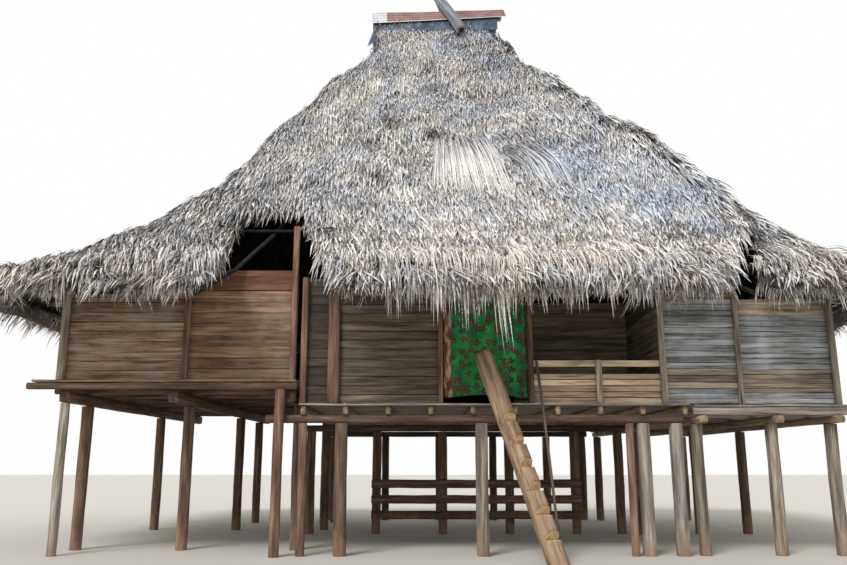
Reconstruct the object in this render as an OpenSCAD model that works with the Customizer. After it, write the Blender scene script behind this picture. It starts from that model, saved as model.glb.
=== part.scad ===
// Stilt house with a swept palm thatch roof, a raised left wing, a porch and a notched log ladder.
// Millimetres. X runs along the front to the right, Y to the back, Z up.
// The origin is at the foot of the centre post, on the lowest ground.

/* [Main floor] */
// Height of the main floor above the lowest ground
floor_z = 2070; // [1700:10:2500]
// Depth of the house between the outer faces of the front and rear walls
house_depth = 7000; // [6000:50:8000]
// Thickness of the main floor boards
board_t = 35; // [20:1:50]
// How far the floor boards stand out past the front and rear walls
board_nose = 90; // [20:5:140]
// Width of a floor joist
joist_w = 70; // [50:5:100]
// Height of a floor joist
joist_h = 120; // [90:5:160]
// Centre of the first joist, at the left end of the main floor
joist_start_x = -2050; // [-2080:10:-1950]
// Spacing of the joists
joist_pitch = 600; // [500:10:610]
// Width of a bearer under the joists
bearer_w = 130; // [100:5:180]
// Height of a bearer
bearer_h = 120; // [90:5:180]
// Left end of the bearers
bearer_left_x = -2580; // [-2700:10:-2450]
// Right end of the bearers
bearer_right_x = 3320; // [3310:10:3400]
// Left edge of the main floor
floor_left_x = -2120; // [-2140:5:-2100]
// Right edge of the main floor
floor_right_x = 3420; // [3400:5:3430]

/* [Left wing] */
// Step up from the main floor to the left wing's floor
left_step = 330; // [300:10:400]
// Thickness of the left wing's floor boards
left_board_t = 40; // [20:1:50]
// Height of the left wing's joists
left_joist_h = 100; // [80:5:120]
// Width of the left wing's joists
left_joist_w = 110; // [60:5:120]
// Height of the left wing's girders
left_girder_h = 180; // [120:5:185]
// Width of the left wing's girders
left_girder_w = 154; // [100:2:160]
// How far the left wing's floor stands out past its corner
left_floor_out = 400; // [250:10:500]
// Right end of the left wing's floor
left_floor_in_x = -2160; // [-2165:5:-2140]
// How far the left wing's floor stands out past the main wall line
left_front_out = 120; // [100:5:160]

/* [Right wing] */
// Step down from the main floor to the right wing's floor
right_step = 20; // [0:5:60]
// Thickness of the right wing's floor boards
right_board_t = 35; // [20:1:50]
// Height of the right wing's joists
right_joist_h = 115; // [80:5:130]
// Width of the right wing's joists
right_joist_w = 90; // [60:5:120]
// Height of the right wing's girders
right_girder_h = 110; // [90:5:160]
// Width of the right wing's girders
right_girder_w = 140; // [100:5:180]
// Left end of the right wing's floor
right_floor_in_x = 3440; // [3435:5:3460]
// How far the right wing's floor stands out past its corner
right_floor_out = 350; // [250:10:450]
// How far the right wing's floor stands out past the main wall line
right_front_out = 110; // [90:5:160]

/* [Lower posts] */
// Side of a square lower post
post_w = 170; // [120:5:200]
// Distance of the second row of posts behind the front wall
second_row_y = 850; // [600:10:1200]
// Height of a rail of the pen between the middle posts
pen_rail_h = 160; // [100:5:200]
// Height of the pen's lowest rail above the ground
pen_rail_z = 250; // [150:10:400]
// Spacing of the pen's rails
pen_rail_pitch = 270; // [230:10:350]

/* [Walls] */
// Thickness of a board wall
wall_t = 30; // [20:1:45]
// Width of a wall post or stud
stud_w = 95; // [70:5:120]
// Depth of a wall post or stud
stud_d = 80; // [60:5:110]
// Width of the left wing's outer bay, from its corner to its stud
left_bay_outer = 1770; // [1700:10:2000]
// Width of the left wing's inner bay, from its stud to the main house
left_bay_inner = 1550; // [1400:10:1650]
// Post at the inner end of the left wing
wing_post_x = -2230; // [-2240:5:-2215]
// Heavy post in the main front wall
big_post_x = -1640; // [-1700:10:-1500]
// Width of the heavy post
big_post_w = 180; // [140:5:200]
// Left side of the doorway
door_left_x = -70; // [-150:10:0]
// Right side of the doorway
door_right_x = 1150; // [1050:10:1160]
// Short post of the porch railing
rail_post_x = 2160; // [1900:10:2400]
// Right corner of the porch
porch_right_x = 3090; // [2950:10:3120]
// Depth of the porch behind the front wall
porch_depth = 2000; // [1500:50:2400]
// Width of the right wing's inner bay, from the porch to its stud
right_bay_inner = 1090; // [1000:10:1250]
// Width of the right wing's outer bay, from its stud to its corner
right_bay_outer = 1370; // [1300:10:1550]
// Distance of the wings' end studs from the house's middle
end_stud_y = 2200; // [1900:10:2300]
// Top of the left wing's wall beside the corner
left_wall_top = 3680; // [3400:10:3750]
// Top of the left wing's wall beside the main house
left_wall_high_top = 4030; // [3800:10:4100]
// How far the main wall stops short of the wall plate
wall_top_gap = 5; // [5:5:150]
// Step down from the main wall's top to the right wing's wall beside the porch
right_wall_step = 40; // [20:5:150]
// Top of the right wing's wall at its stud
right_wall_top = 3590; // [3450:10:3700]
// Top of the right wing's wall at its corner
right_wall_low_top = 3440; // [3300:10:3600]
// Top of the wing end walls
end_wall_top = 3600; // [3300:10:3700]
// Height of the porch railing above the floor
rail_h = 620; // [500:10:900]

/* [Roof form] */
// Height at which the sweep of the roof's front and rear sides would meet, without the crest
ridge_z = 9650; // [9200:50:10000]
// Rise of the crest over that height
crest_rise = 660; // [400:20:800]
// Part of the way to the eaves over which the crest blends into the sweep
crest_run = 0.35; // [0.25:0.01:0.35]
// Height of the crest's neck at the left end
left_neck_z = 9000; // [8800:20:9400]
// Height of the crest's neck at the right end
right_neck_z = 9480; // [9200:20:9600]
// Height of the left side under the neck
left_brow_z = 7900; // [7700:20:8100]
// Height of the right side under the neck
right_brow_z = 8450; // [8300:20:8600]
// Height of the thatch at the eaves
eave_z = 3710; // [3600:10:3800]
// Half length of the ridge
ridge_half = 1070; // [950:10:1300]
// Middle of the ridge, left of the centre post
ridge_x = -110; // [-150:10:0]
// Overhang of the eaves past the left wing's corner
left_overhang = 1410; // [1300:10:1500]
// Overhang of the eaves past the right wing's corner
right_overhang = 1310; // [1200:10:1400]
// Overhang of the eaves past the front and rear walls
front_overhang = 1060; // [950:10:1150]
// Radius of the rounded roof corners at the eaves
corner_r = 1520; // [1000:10:1800]
// Sweep of the roof's front and rear sides, where 1 is straight
sweep = 1.44; // [1.2:0.02:1.5]
// Height at which the left side's slope first eases
left_bend_z = 5680; // [5500:10:5900]
// Height at which the left side's slope turns shallow over the wing
left_wing_z = 4880; // [4750:10:5000]
// Height at which the right side's slope turns steeper
right_bend_z = 6750; // [6500:10:6900]
// Height at which the right side's slope turns shallow over the wing
right_wing_z = 4560; // [4450:10:4700]
// Thickness of the thatch, measured upright
thatch_t = 240; // [180:10:300]
// Height of the butt of a course of thatch, where the next course comes out from under it
course_step = 90; // [40:5:120]
// Drop of the hanging fringe at the wings
fringe_drop = 260; // [100:10:400]
// Drop of the hanging fringe over the porch and the door
apron_drop = 620; // [400:10:700]
// Left end of the long apron
apron_left_x = -1500; // [-1800:50:-1200]
// Right end of the long apron
apron_right_x = 3500; // [3200:50:3700]
// Depth of the left notch in the front eave, from the eave inwards
left_notch_depth = 1730; // [1500:10:1750]
// Width of the left notch at the eave
left_notch_w = 2100; // [1800:10:2200]
// Width of the left notch at its top
left_notch_top_w = 1050; // [900:10:1200]
// Depth of the right notch in the front eave, from the eave inwards
right_notch_depth = 1260; // [1100:10:1400]
// Width of the right notch at the eave
right_notch_w = 750; // [600:10:800]
// Width of the right notch at its top
right_notch_top_w = 320; // [250:10:400]

/* [Roof poles] */
// Radius of a thatch batten
batten_r = 25; // [18:1:35]
// Radius of a rafter
rafter_r = 35; // [28:1:45]
// Radius of a plate pole
plate_r = 70; // [50:1:90]
// Radius of the ridge pole
ridge_pole_r = 60; // [45:1:70]
// Radius of an inner post
inner_post_r = 75; // [60:1:100]
// Rafters on the front and on the rear
rafter_count = 13; // [9:2:17]

/* [Ridge cap] */
// Length of the ridge sheet
cap_len = 2700; // [2500:10:2900]
// Shift of the ridge sheet to the right of the ridge's middle
cap_shift = 60; // [0:10:100]
// Width of one side of the ridge sheet, down the slope
cap_w = 380; // [280:10:440]
// Thickness of the ridge sheet with its corrugation
cap_t = 18; // [10:1:24]
// Width of one side of the tarp under the sheet, down the slope
tarp_w = 550; // [460:10:560]
// Radius of a crossed ridge pole
cross_r = 80; // [55:1:85]
// Length of a crossed ridge pole
cross_len = 1480; // [1300:10:1700]
// Length of a crossed ridge pole below the point where the two cross
cross_below = 1040; // [900:10:1080]

/* [Ladder] */
// Radius of the ladder log
log_r = 140; // [120:2:160]
// Rise of one step
step_rise = 300; // [260:5:340]
// Height of the log's top end above the floor
log_above = 700; // [500:10:760]
// Lean of the log towards the house, per unit of height
log_lean = 0.36; // [0.3:0.01:0.38]
// Lean of the log to the left, per unit of height
log_side_lean = 0.3; // [0.1:0.01:0.4]
// Place of the log where it meets the floor's edge
log_x = 715; // [600:5:800]
// Radius of the handrail pole
handrail_r = 22; // [15:1:30]
// Height of the handrail pole's top end above the floor
handrail_above = 600; // [400:10:800]
// Lean of the handrail pole towards the house, per unit of height
handrail_lean = 0.18; // [0.1:0.01:0.2]
// Place of the handrail pole where it meets the floor's edge
handrail_x = 1310; // [1290:5:1400]

/* [Hidden] */

// Running clearance between round poles
fit = 0.3;
// Half of the house's depth
half_d = house_depth / 2;
// Studs and corners of the wings
left_stud_x = wing_post_x - left_bay_inner;
left_corner_x = left_stud_x - left_bay_outer;
right_stud_x = porch_right_x + right_bay_inner;
right_corner_x = right_stud_x + right_bay_outer;
// Outer ends of the wings' floors
left_floor_x = left_corner_x - left_floor_out;
right_floor_x = right_corner_x + right_floor_out;
// Reach of the eaves from the middle of the ridge
left_reach = ridge_x - left_corner_x + left_overhang;
right_reach = right_corner_x - ridge_x + right_overhang;
front_reach = half_d + front_overhang;
// Levels of the main floor, from the boards down
joist_top = floor_z - board_t;
bearer_top = joist_top - joist_h;
post_top = bearer_top - bearer_h;
// Levels of the left wing's floor
left_floor_z = floor_z + left_step;
left_joist_top = left_floor_z - left_board_t;
left_girder_top = left_joist_top - left_joist_h;
left_post_top = left_girder_top - left_girder_h;
// Levels of the right wing's floor
right_floor_z = floor_z - right_step;
right_joist_top = right_floor_z - right_board_t;
right_girder_top = right_joist_top - right_joist_h;
right_post_top = right_girder_top - right_girder_h;
// Plane of the wall boards, behind the studs, and the studs' own middle
wall_y = half_d - stud_d;
stud_y = half_d - stud_d / 2;

// A box between two corners, given as ranges along X, Y and Z
module block(x, y, z) {
    translate([x[0], y[0], z[0]]) cube([x[1] - x[0], y[1] - y[0], z[1] - z[0]]);
}

// An upright square post with its centre at x and y
module post(x, y, w, d, z) {
    block([x - w / 2, x + w / 2], [y - d / 2, y + d / 2], z);
}

// Roof form: a ring of the roof at share s of the way from the ridge to the eaves.
// A station is [along, across, angle]: the place on the straight sides and the facing in plan.
function reach_x(st, s) = ridge_half + ((st[0] < 0 ? left_reach : right_reach) - ridge_half) * s;
function side_share(st) = pow(cos(st[2]), 2);
function front_z(s) = eave_z + (ridge_z - eave_z) * pow(max(1 - s, 0), sweep)
    + crest_rise * pow(max(1 - s / crest_run, 0), 2);
// Levels at which the roof form bends. The crest has its top at the first and its neck at the second.
levels = [0.025, 0.045, 0.2, 0.35, 0.5, 0.65, 0.8, 0.93, 1];
crest = [levels[0], front_z(levels[0])];
left_side = [crest, [levels[1], left_neck_z], [levels[2], left_brow_z], [levels[4], left_bend_z],
    [levels[5], left_wing_z], [1, eave_z]];
right_side = [crest, [levels[1], right_neck_z], [levels[2], right_brow_z], [levels[4], right_bend_z],
    [levels[6], right_wing_z], [1, eave_z]];
function side_z(st, s) = lookup(s, cos(st[2]) > 0 ? right_side : left_side);
function roof_z(st, s) = front_z(s) + (side_z(st, s) - front_z(s)) * side_share(st);
function roof_pt(st, s) = let (r = corner_r * s) [
    ridge_x + (reach_x(st, s) - r) * st[0] + r * cos(st[2]),
    (front_reach * s - r) * st[1] + r * sin(st[2]),
    roof_z(st, s)];
// Outward run of the roof form for one unit of s
function ring_run(st) =
    ((st[0] < 0 ? left_reach : right_reach) - ridge_half - corner_r) * abs(cos(st[2]))
    + (front_reach - corner_r) * abs(sin(st[2])) + corner_r;
// Mean slope of the roof form at a level, for the poles under it
function slope_at(st, i) = let (
    a = levels[max(i - 1, 0)],
    b = levels[min(i + 1, len(levels) - 1)],
    s = levels[i],
    up = (roof_z(st, a) - roof_z(st, s)) / ((s - a) * ring_run(st)),
    down = (roof_z(st, s) - roof_z(st, b)) / ((b - s) * ring_run(st)))
    i == 0 ? down : i == len(levels) - 1 ? up : tan((atan(up) + atan(down)) / 2);
// Inward normal and downhill direction of the roof form at a level
function inward(st, i) = let (a = atan(slope_at(st, i)))
    [-cos(st[2]) * sin(a), -sin(st[2]) * sin(a), -cos(a)];
function downhill(st, i) = let (a = atan(slope_at(st, i)))
    [cos(st[2]) * cos(a), sin(st[2]) * cos(a), -sin(a)];
function along(st) = [-sin(st[2]), cos(st[2]), 0];
// Place at a given depth under the thatch
function under(st, i, depth) = roof_pt(st, levels[i]) - [0, 0, thatch_t] + inward(st, i) * depth;

// Stations round the roof, anticlockwise from the middle of the left side's front half
corner_steps = 4;
function flat_front(n) = [for (k = [0 : n]) [-1 + 2 * k / n, -1, -90]];
function corner(fx, fy, a0, a1) =
    [for (k = [1 : corner_steps - 1]) [fx, fy, a0 + (a1 - a0) * k / corner_steps]];
function flat_right(n) = [for (k = [0 : n]) [1, -1 + 2 * k / n, 0]];
function flat_rear(n) = [for (k = [0 : n]) [1 - 2 * k / n, 1, 90]];
function flat_left(n) = [for (k = [0 : n]) [-1, 1 - 2 * k / n, 180]];
front_left_corner = corner(-1, -1, 180, 270);
front_right_corner = corner(1, -1, -90, 0);
rear_right_corner = corner(1, 1, 0, 90);
rear_left_corner = corner(-1, 1, 90, 180);
half_corner = floor(corner_steps / 2);
function part_of(list, from, to) = [for (k = [from : to]) list[k]];

// Closed skin between rows of points, each row a closed loop. Each end is one face, or is filled by
// the faces given as places in a row.
module loft(rows, ends = []) {
    n = len(rows[0]);
    last = (len(rows) - 1) * n;
    first_end = len(ends) > 0 ? ends : [[for (j = [0 : n - 1]) j]];
    pts = [for (row = rows) each row];
    sides = [for (i = [0 : len(rows) - 2]) for (j = [0 : n - 1]) let (k = (j + 1) % n)
        [i * n + j, (i + 1) * n + j, (i + 1) * n + k, i * n + k]];
    last_end = [for (face = first_end) [for (k = [len(face) : -1 : 1]) last + face[k % len(face)]]];
    polyhedron(pts, concat(first_end, sides, last_end), convexity = 6);
}

// Drop of the fringe below the eaves, longest over the porch and the door
apron_left_run = 900;
apron_right_run = 500;
function share(x) = min(1, max(0, x));
function apron_share(x) =
    share((x - apron_left_x) / apron_left_run) * share((apron_right_x - x) / apron_right_run);
fringe_t = 90;
fringe_lean = 20;
// The thatch lies in courses from the first of these levels down, each with its butt over the next
first_course = 2;
last_level = len(levels) - 1;
function course_edge(st, i) = let (p = roof_pt(st, levels[i]), lift = [0, 0, course_step / 2])
    i < first_course ? [p] : i == last_level ? [p + lift] : [p + lift, p - lift];
function fringe(st) = let (x = roof_pt(st, 1)[0])
    fringe_drop + (st[2] == -90 ? (apron_drop - fringe_drop) * apron_share(x) : 0);
// One upright section of the thatch, from the ridge down the outside and back up the inside
function thatch_row(st) = let (
    n = [cos(st[2]), sin(st[2]), 0],
    eave = roof_pt(st, 1),
    tip = eave + n * fringe_lean - [0, 0, fringe(st)])
    concat([for (i = [0 : last_level]) each course_edge(st, i)],
        [tip, tip - n * fringe_t, eave - n * thatch_t - [0, 0, thatch_t]],
        [for (i = [last_level - 1 : -1 : 0]) roof_pt(st, levels[i]) - [0, 0, thatch_t]]);
// Places in that section: the first point of a level's edge, and the point under a level
function edge_place(i) = i <= first_course ? i : 2 * i - first_course;
fringe_place = edge_place(last_level);
function inner_place(i) = fringe_place + 3 + last_level - i;
// Faces that fill the section, one between each two levels and one for the fringe
section_faces = concat(
    [for (i = [0 : last_level - 1]) let (e = edge_place(i + 1))
        concat([for (k = [e - 1 : min(edge_place(i + 2) - 1, fringe_place)]) k],
            [inner_place(i + 1), inner_place(i)])],
    [[for (k = [fringe_place : fringe_place + 3]) k]]);
module thatch(stations) {
    color("#a39a8f") loft([for (st = stations) thatch_row(st)], section_faces);
}

// Notches in the front eave, beside the left wing's inner end and the right wing's stud.
// Each is [ends at the eave, ends at its top, distance of the top from the house's middle].
notch_out_y = front_reach + 300;
// Left sides of the notches beside the studs, at the eave and at the top
left_notch_in = 430;
left_notch_top_in = 580;
right_notch_in = -780;
right_notch_top_in = 150;
left_notch_x = left_stud_x + left_notch_in;
left_notch_top_x = left_stud_x + left_notch_top_in;
left_notch = [[left_notch_x, left_notch_x + left_notch_w],
    [left_notch_top_x, left_notch_top_x + left_notch_top_w], front_reach - left_notch_depth];
right_notch_x = right_stud_x + right_notch_in;
right_notch_top_x = right_stud_x + right_notch_top_in;
right_notch = [[right_notch_x, right_notch_x + right_notch_w],
    [right_notch_top_x, right_notch_top_x + right_notch_top_w], front_reach - right_notch_depth];
// Side of a notch at a distance y from the house's middle
function notch_side(notch, k, y) =
    notch[1][k] + (notch[0][k] - notch[1][k]) * (y - notch[2]) / (notch_out_y - notch[2]);
module eave_notch(notch) {
    translate([0, 0, eave_z - 2 * apron_drop]) linear_extrude(ridge_z - eave_z)
        polygon([[notch[0][0], -notch_out_y], [notch[1][0], -notch[2]], [notch[1][1], -notch[2]],
            [notch[0][1], -notch_out_y]]);
}
module eave_notches() {
    eave_notch(left_notch);
    eave_notch(right_notch);
}

module thatch_front() {
    difference() {
        thatch(concat(part_of(front_left_corner, half_corner - 1, corner_steps - 2), flat_front(14),
            part_of(front_right_corner, 0, half_corner - 1)));
        color("#a39a8f") eave_notches();
    }
}
module thatch_right() {
    thatch(concat(part_of(front_right_corner, half_corner - 1, corner_steps - 2), flat_right(3),
        part_of(rear_right_corner, 0, half_corner - 1)));
}
module thatch_rear() {
    thatch(concat(part_of(rear_right_corner, half_corner - 1, corner_steps - 2), flat_rear(6),
        part_of(rear_left_corner, 0, half_corner - 1)));
}
module thatch_left() {
    thatch(concat(part_of(rear_left_corner, half_corner - 1, corner_steps - 2), flat_left(3),
        part_of(front_left_corner, 0, half_corner - 1)));
}

// A pole of a few sides swept along points, each with two directions across it
function pole_row(p, u, v, r, sides) = [for (j = [0 : sides - 1]) let (a = 360 * j / sides)
    p + u * (r * cos(a)) + v * (r * sin(a))];

// One batten bent round the roof at a level, in open or closed stretches
module batten(stations, i) {
    loft([for (st = stations)
        pole_row(under(st, i, fit + batten_r), -inward(st, i), downhill(st, i), batten_r, 6)]);
}
first_batten = 2;
last_batten = 7;
notch_batten = 6;
// Stations of the whole ring
ring = concat(flat_front(2), front_right_corner, flat_right(1), rear_right_corner, flat_rear(1),
    rear_left_corner, flat_left(1), front_left_corner);
module closed_batten(i) {
    n = 6;
    rows = [for (st = ring)
        pole_row(under(st, i, fit + batten_r), -inward(st, i), downhill(st, i), batten_r, n)];
    m = len(rows);
    polyhedron([for (row = rows) each row],
        [for (a = [0 : m - 1]) for (j = [0 : n - 1]) let (b = (a + 1) % m, k = (j + 1) % n)
            [a * n + j, b * n + j, b * n + k, a * n + k]], convexity = 10);
}
// Station on the front at a given x on the level i
function front_station(x, i) = let (s = levels[i], r = corner_r * s, side = x < ridge_x ? -1 : 1)
    [(x - ridge_x) / (reach_x([side, -1, -90], s) - r), -1, -90];
// Ends of a lower batten beside a notch
notch_margin = 60;
function batten_stop(notch, k, i) =
    notch_side(notch, k, front_reach * levels[i]) + (k == 0 ? -1 : 1) * notch_margin;
module thatch_battens() {
    color("#6b5844") {
        for (i = [first_batten : notch_batten - 1]) closed_batten(i);
        for (i = [notch_batten : last_batten]) {
            batten([front_station(batten_stop(left_notch, 1, i), i),
                front_station(batten_stop(right_notch, 0, i), i)], i);
            right_stop = min(batten_stop(right_notch, 1, i), corner_start_x(1, i) - 50);
            batten(concat([front_station(right_stop, i), [1, -1, -90]], front_right_corner, flat_right(1),
                rear_right_corner, flat_rear(1), rear_left_corner, flat_left(1), front_left_corner,
                [[-1, -1, -90], front_station(batten_stop(left_notch, 0, i), i)]), i);
        }
    }
}
function corner_start_x(side, i) = roof_pt([side, -1, -90], levels[i])[0];

// A rafter under the battens, following the roof form from one level to another
rafter_depth = 2 * fit + 2 * batten_r + rafter_r;
module rafter(st, from, to, head = []) {
    loft(concat([for (p = head) pole_row(p, -inward(st, from), along(st), rafter_r, 6)],
        [for (i = [from : to])
            pole_row(under(st, i, rafter_depth), -inward(st, i), along(st), rafter_r, 6)]));
}
// Head of a rafter that runs up to the ridge pole
ridge_gap = 70;
function ridge_head(st) = let (a = under(st, 1, rafter_depth), b = under(st, 2, rafter_depth),
    t = (abs(a[1]) - ridge_gap) / (abs(b[1]) - abs(a[1])))
    a + (a - b) * t;
rafter_margin = 200;
function beside(x, notch) = x > notch[0][0] - rafter_margin && x < notch[0][1] + rafter_margin;
function in_notch(x) = beside(x, left_notch) || beside(x, right_notch);
function front_low(st) = in_notch(roof_pt(st, 1)[0]) ? notch_batten - 1 : last_batten;
// Every other rafter runs up to the ridge, apart from those beside the crest's ends
function runs_up(k) = k % 2 == 0 && k > 0 && k < rafter_count - 1;
module rafter_row(side) {
    for (k = [0 : rafter_count - 1]) let (st = [-1 + 2 * k / (rafter_count - 1), side, side * 90])
        rafter(st, runs_up(k) ? 1 : 3, side < 0 ? front_low(st) : last_batten,
            runs_up(k) ? [ridge_head(st)] : []);
}
module front_rafters() {
    color("#6b5844") rafter_row(-1);
}
module rear_rafters() {
    color("#6b5844") rafter_row(1);
}
module end_rafters() {
    color("#6b5844") {
        for (side = [-1, 1]) {
            for (f = [-0.9, -0.3, 0.3, 0.9]) rafter([side, f, side < 0 ? 180 : 0], 3, last_batten);
        }
        for (list = [front_left_corner, front_right_corner, rear_right_corner, rear_left_corner])
            rafter(list[half_corner - 1], 4, last_batten);
    }
}

// Poles that run straight along the roof under the rafters
plate_depth = rafter_depth + rafter_r + fit + plate_r;
plate_level = 6;
upper_level = 4;
mid_front = [0, -1, -90];
function plate_at(i) = under(mid_front, i, plate_depth);
// The wall plates lie on the studs, at the height that the rafters leave there
wall_plate_y = -stud_y;
wall_plate_z = lookup(wall_plate_y,
    [for (i = [last_batten : -1 : upper_level]) [plate_at(i)[1], plate_at(i)[2]]]);
main_wall_top = wall_plate_z - plate_r - wall_top_gap;
right_wall_high_top = main_wall_top - right_wall_step;
upper_plate_z = plate_at(upper_level)[2];
upper_plate_y = plate_at(upper_level)[1];
module x_pole(x, y, z, r) {
    translate([x[0], y, z]) rotate([0, 90, 0]) cylinder(h = x[1] - x[0], r = r, $fn = 32);
}
module y_pole(x, y, z, r) {
    translate([x, y[0], z]) rotate([-90, 0, 0]) cylinder(h = y[1] - y[0], r = r, $fn = 32);
}
end_plate_y = roof_pt([-1, 1, 180], levels[plate_level])[1];
function end_plate_x(side) = under([side, 0, side < 0 ? 180 : 0], plate_level, plate_depth)[0];
function end_plate_z(side) = under([side, 0, side < 0 ? 180 : 0], plate_level, plate_depth)[2];
// Plates stop short of the hips
hip_gap = 100;
plate_left_x = corner_start_x(-1, plate_level) + hip_gap;
plate_right_x = corner_start_x(1, plate_level) - hip_gap;
// Inner posts, clear of the porch
inner_post_in = 330;
inner_post_out = 160;
inner_post_xs = [wing_post_x + inner_post_in, porch_right_x + inner_post_out];
upper_left_x = corner_start_x(-1, upper_level) + hip_gap;
module roof_plates() {
    color("#5e4c3a") {
        x_pole([big_post_x - big_post_w / 2, right_stud_x], wall_plate_y, wall_plate_z, plate_r);
        x_pole([plate_left_x, left_stud_x + stud_w / 2], wall_plate_y, wall_plate_z, plate_r);
        x_pole([plate_left_x, plate_right_x], -wall_plate_y, wall_plate_z, plate_r);
        for (side = [-1, 1]) {
            y_pole(end_plate_x(side), [-end_plate_y, end_plate_y], end_plate_z(side), plate_r);
            x_pole([upper_left_x, inner_post_xs[1] + inner_post_r], side * upper_plate_y, upper_plate_z,
                plate_r);
        }
    }
}

// The ridge pole, on which the first rafters lean
function ridge_pole_height() = let (
    a = under(mid_front, 1, rafter_depth),
    b = under(mid_front, 2, rafter_depth),
    m = (a[2] - b[2]) / (a[1] - b[1]))
    a[2] - m * a[1] - (ridge_pole_r + rafter_r + fit) * sqrt(1 + m * m);
ridge_pole_z = ridge_pole_height();
ridge_post_in = 200;
ridge_post_xs = [ridge_x - ridge_half + ridge_post_in, ridge_x + ridge_half - ridge_post_in];
ridge_pole_out = 60;
module ridge_pole() {
    color("#5e4c3a") x_pole([ridge_x - ridge_half - ridge_pole_out, ridge_x + ridge_half + ridge_pole_out],
        0, ridge_pole_z, ridge_pole_r);
}
module inner_post(x, y, top) {
    translate([x, y, floor_z]) cylinder(h = top - floor_z, r = inner_post_r, $fn = 32);
}
module inner_posts() {
    color("#5e4c3a") {
        for (side = [-1, 1]) for (x = inner_post_xs)
            inner_post(x, side * upper_plate_y, upper_plate_z - plate_r);
        for (x = ridge_post_xs) inner_post(x, 0, ridge_pole_z - ridge_pole_r);
    }
}

// Ridge cap: a tarp over the thatch, a folded sheet over the tarp and two poles across it
cap_slope = atan(slope_at(mid_front, 0));
thatch_top = roof_pt(mid_front, levels[0]);
cap_peak_z = thatch_top[2] - thatch_top[1] * tan(cap_slope);
function cap_side(w, t, lift) = let (
    low = cap_peak_z + lift / cos(cap_slope),
    foot = [w * cos(cap_slope), low - w * sin(cap_slope)])
    [foot, foot + t * [sin(cap_slope), cos(cap_slope)]];
module cap_profile(w, t, lift) {
    side = cap_side(w, t, lift);
    low = cap_peak_z + lift / cos(cap_slope);
    polygon([[0, low], side[0], side[1], [0, low + t / cos(cap_slope)],
        [-side[1][0], side[1][1]], [-side[0][0], side[0][1]]]);
}
module x_extrude(x) {
    translate([x[0], 0, 0]) rotate([90, 0, 90]) linear_extrude(x[1] - x[0]) children();
}
tarp_t = 12;
tarp_out = 50;
crest_left_x = roof_pt([-1, 0, 180], levels[0])[0];
crest_right_x = roof_pt([1, 0, 0], levels[0])[0];
module ridge_tarp() {
    color("#34465c") x_extrude([crest_left_x - tarp_out, crest_right_x + tarp_out])
        cap_profile(tarp_w, tarp_t, 0.5);
}
module ridge_sheet() {
    color("#96756c") x_extrude([ridge_x + cap_shift - cap_len / 2, ridge_x + cap_shift + cap_len / 2])
        cap_profile(cap_w, cap_t, tarp_t + 1);
}
// Poles that cross over the ridge, side by side, each lying along one slope of the sheet
cross_turn = -24;
cross_x = 60;
cross_rise = cos(cross_turn) * sin(cap_slope);
cross_gap = (2 * cross_r + fit) * norm([sin(cross_turn), cross_rise]) / cross_rise;
cross_z = cap_peak_z + (tarp_t + cap_t + 1 + fit + cross_r) / cos(cap_slope);
module ridge_cross_poles() {
    color("#8c8c92") for (k = [0, 1]) mirror([0, k, 0]) translate([cross_x + k * cross_gap, 0, cross_z])
        rotate([90 - cap_slope, 0, 0]) rotate([0, cross_turn, 0])
            translate([0, 0, -cross_below]) cylinder(h = cross_len, r = cross_r, $fn = 24);
}

// Lower posts. Each front post is [place, width].
front_post_list = [[-2050, 125], [-1510, 190], [470, 180], [2560, 110], [2760, 180], [3220, 180]];
main_post_xs = [-2400, -1200, 0, 1200, 2400, 3200];
module front_posts() {
    color("#70563f") for (p = front_post_list) post(p[0], -half_d + p[1] / 2, p[1], p[1], [0, post_top]);
}
module middle_posts() {
    color("#4d3d2f") for (x = main_post_xs) post(x, 0, post_w, post_w, [0, post_top]);
}
module rear_posts() {
    color("#4d3d2f") for (x = main_post_xs) post(x, half_d - post_w / 2, post_w, post_w, [0, post_top]);
}
// Girders of the left wing, set in from the corner and beside the stud
left_girder_in = 100;
left_girder_by = 120;
left_girder_xs = [left_corner_x + left_girder_in, left_stud_x - left_girder_by,
    left_floor_in_x - left_girder_w / 2];
corner_post_w = 130;
corner_post_in = 5;
outer_post_w = 147;
outer_post_in = 220;
module left_wing_posts() {
    color("#70563f") {
        for (x = left_girder_xs) for (y = [-half_d + second_row_y, second_row_y, half_d - second_row_y])
            post(x, y, post_w, post_w, [0, left_post_top]);
        post(left_girder_xs[0], -half_d + corner_post_w / 2 + corner_post_in, corner_post_w, corner_post_w,
            [0, left_post_top]);
        post(left_floor_in_x - outer_post_in, -half_d - left_front_out / 2, outer_post_w, left_front_out,
            [0, left_girder_top]);
    }
}
// Girders of the right wing, set in from its ends and beside the stud
right_girder_in = 100;
right_girder_by = 420;
right_post_in = 150;
right_girder_xs = [right_floor_in_x + right_girder_in, right_stud_x + right_girder_by,
    right_corner_x - right_girder_in];
module right_wing_posts() {
    color("#5e5248") for (x = right_girder_xs) for (y = [-half_d + right_post_in, 0, half_d - right_post_in])
        post(x, y, post_w, post_w, [0, right_post_top]);
}

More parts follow.
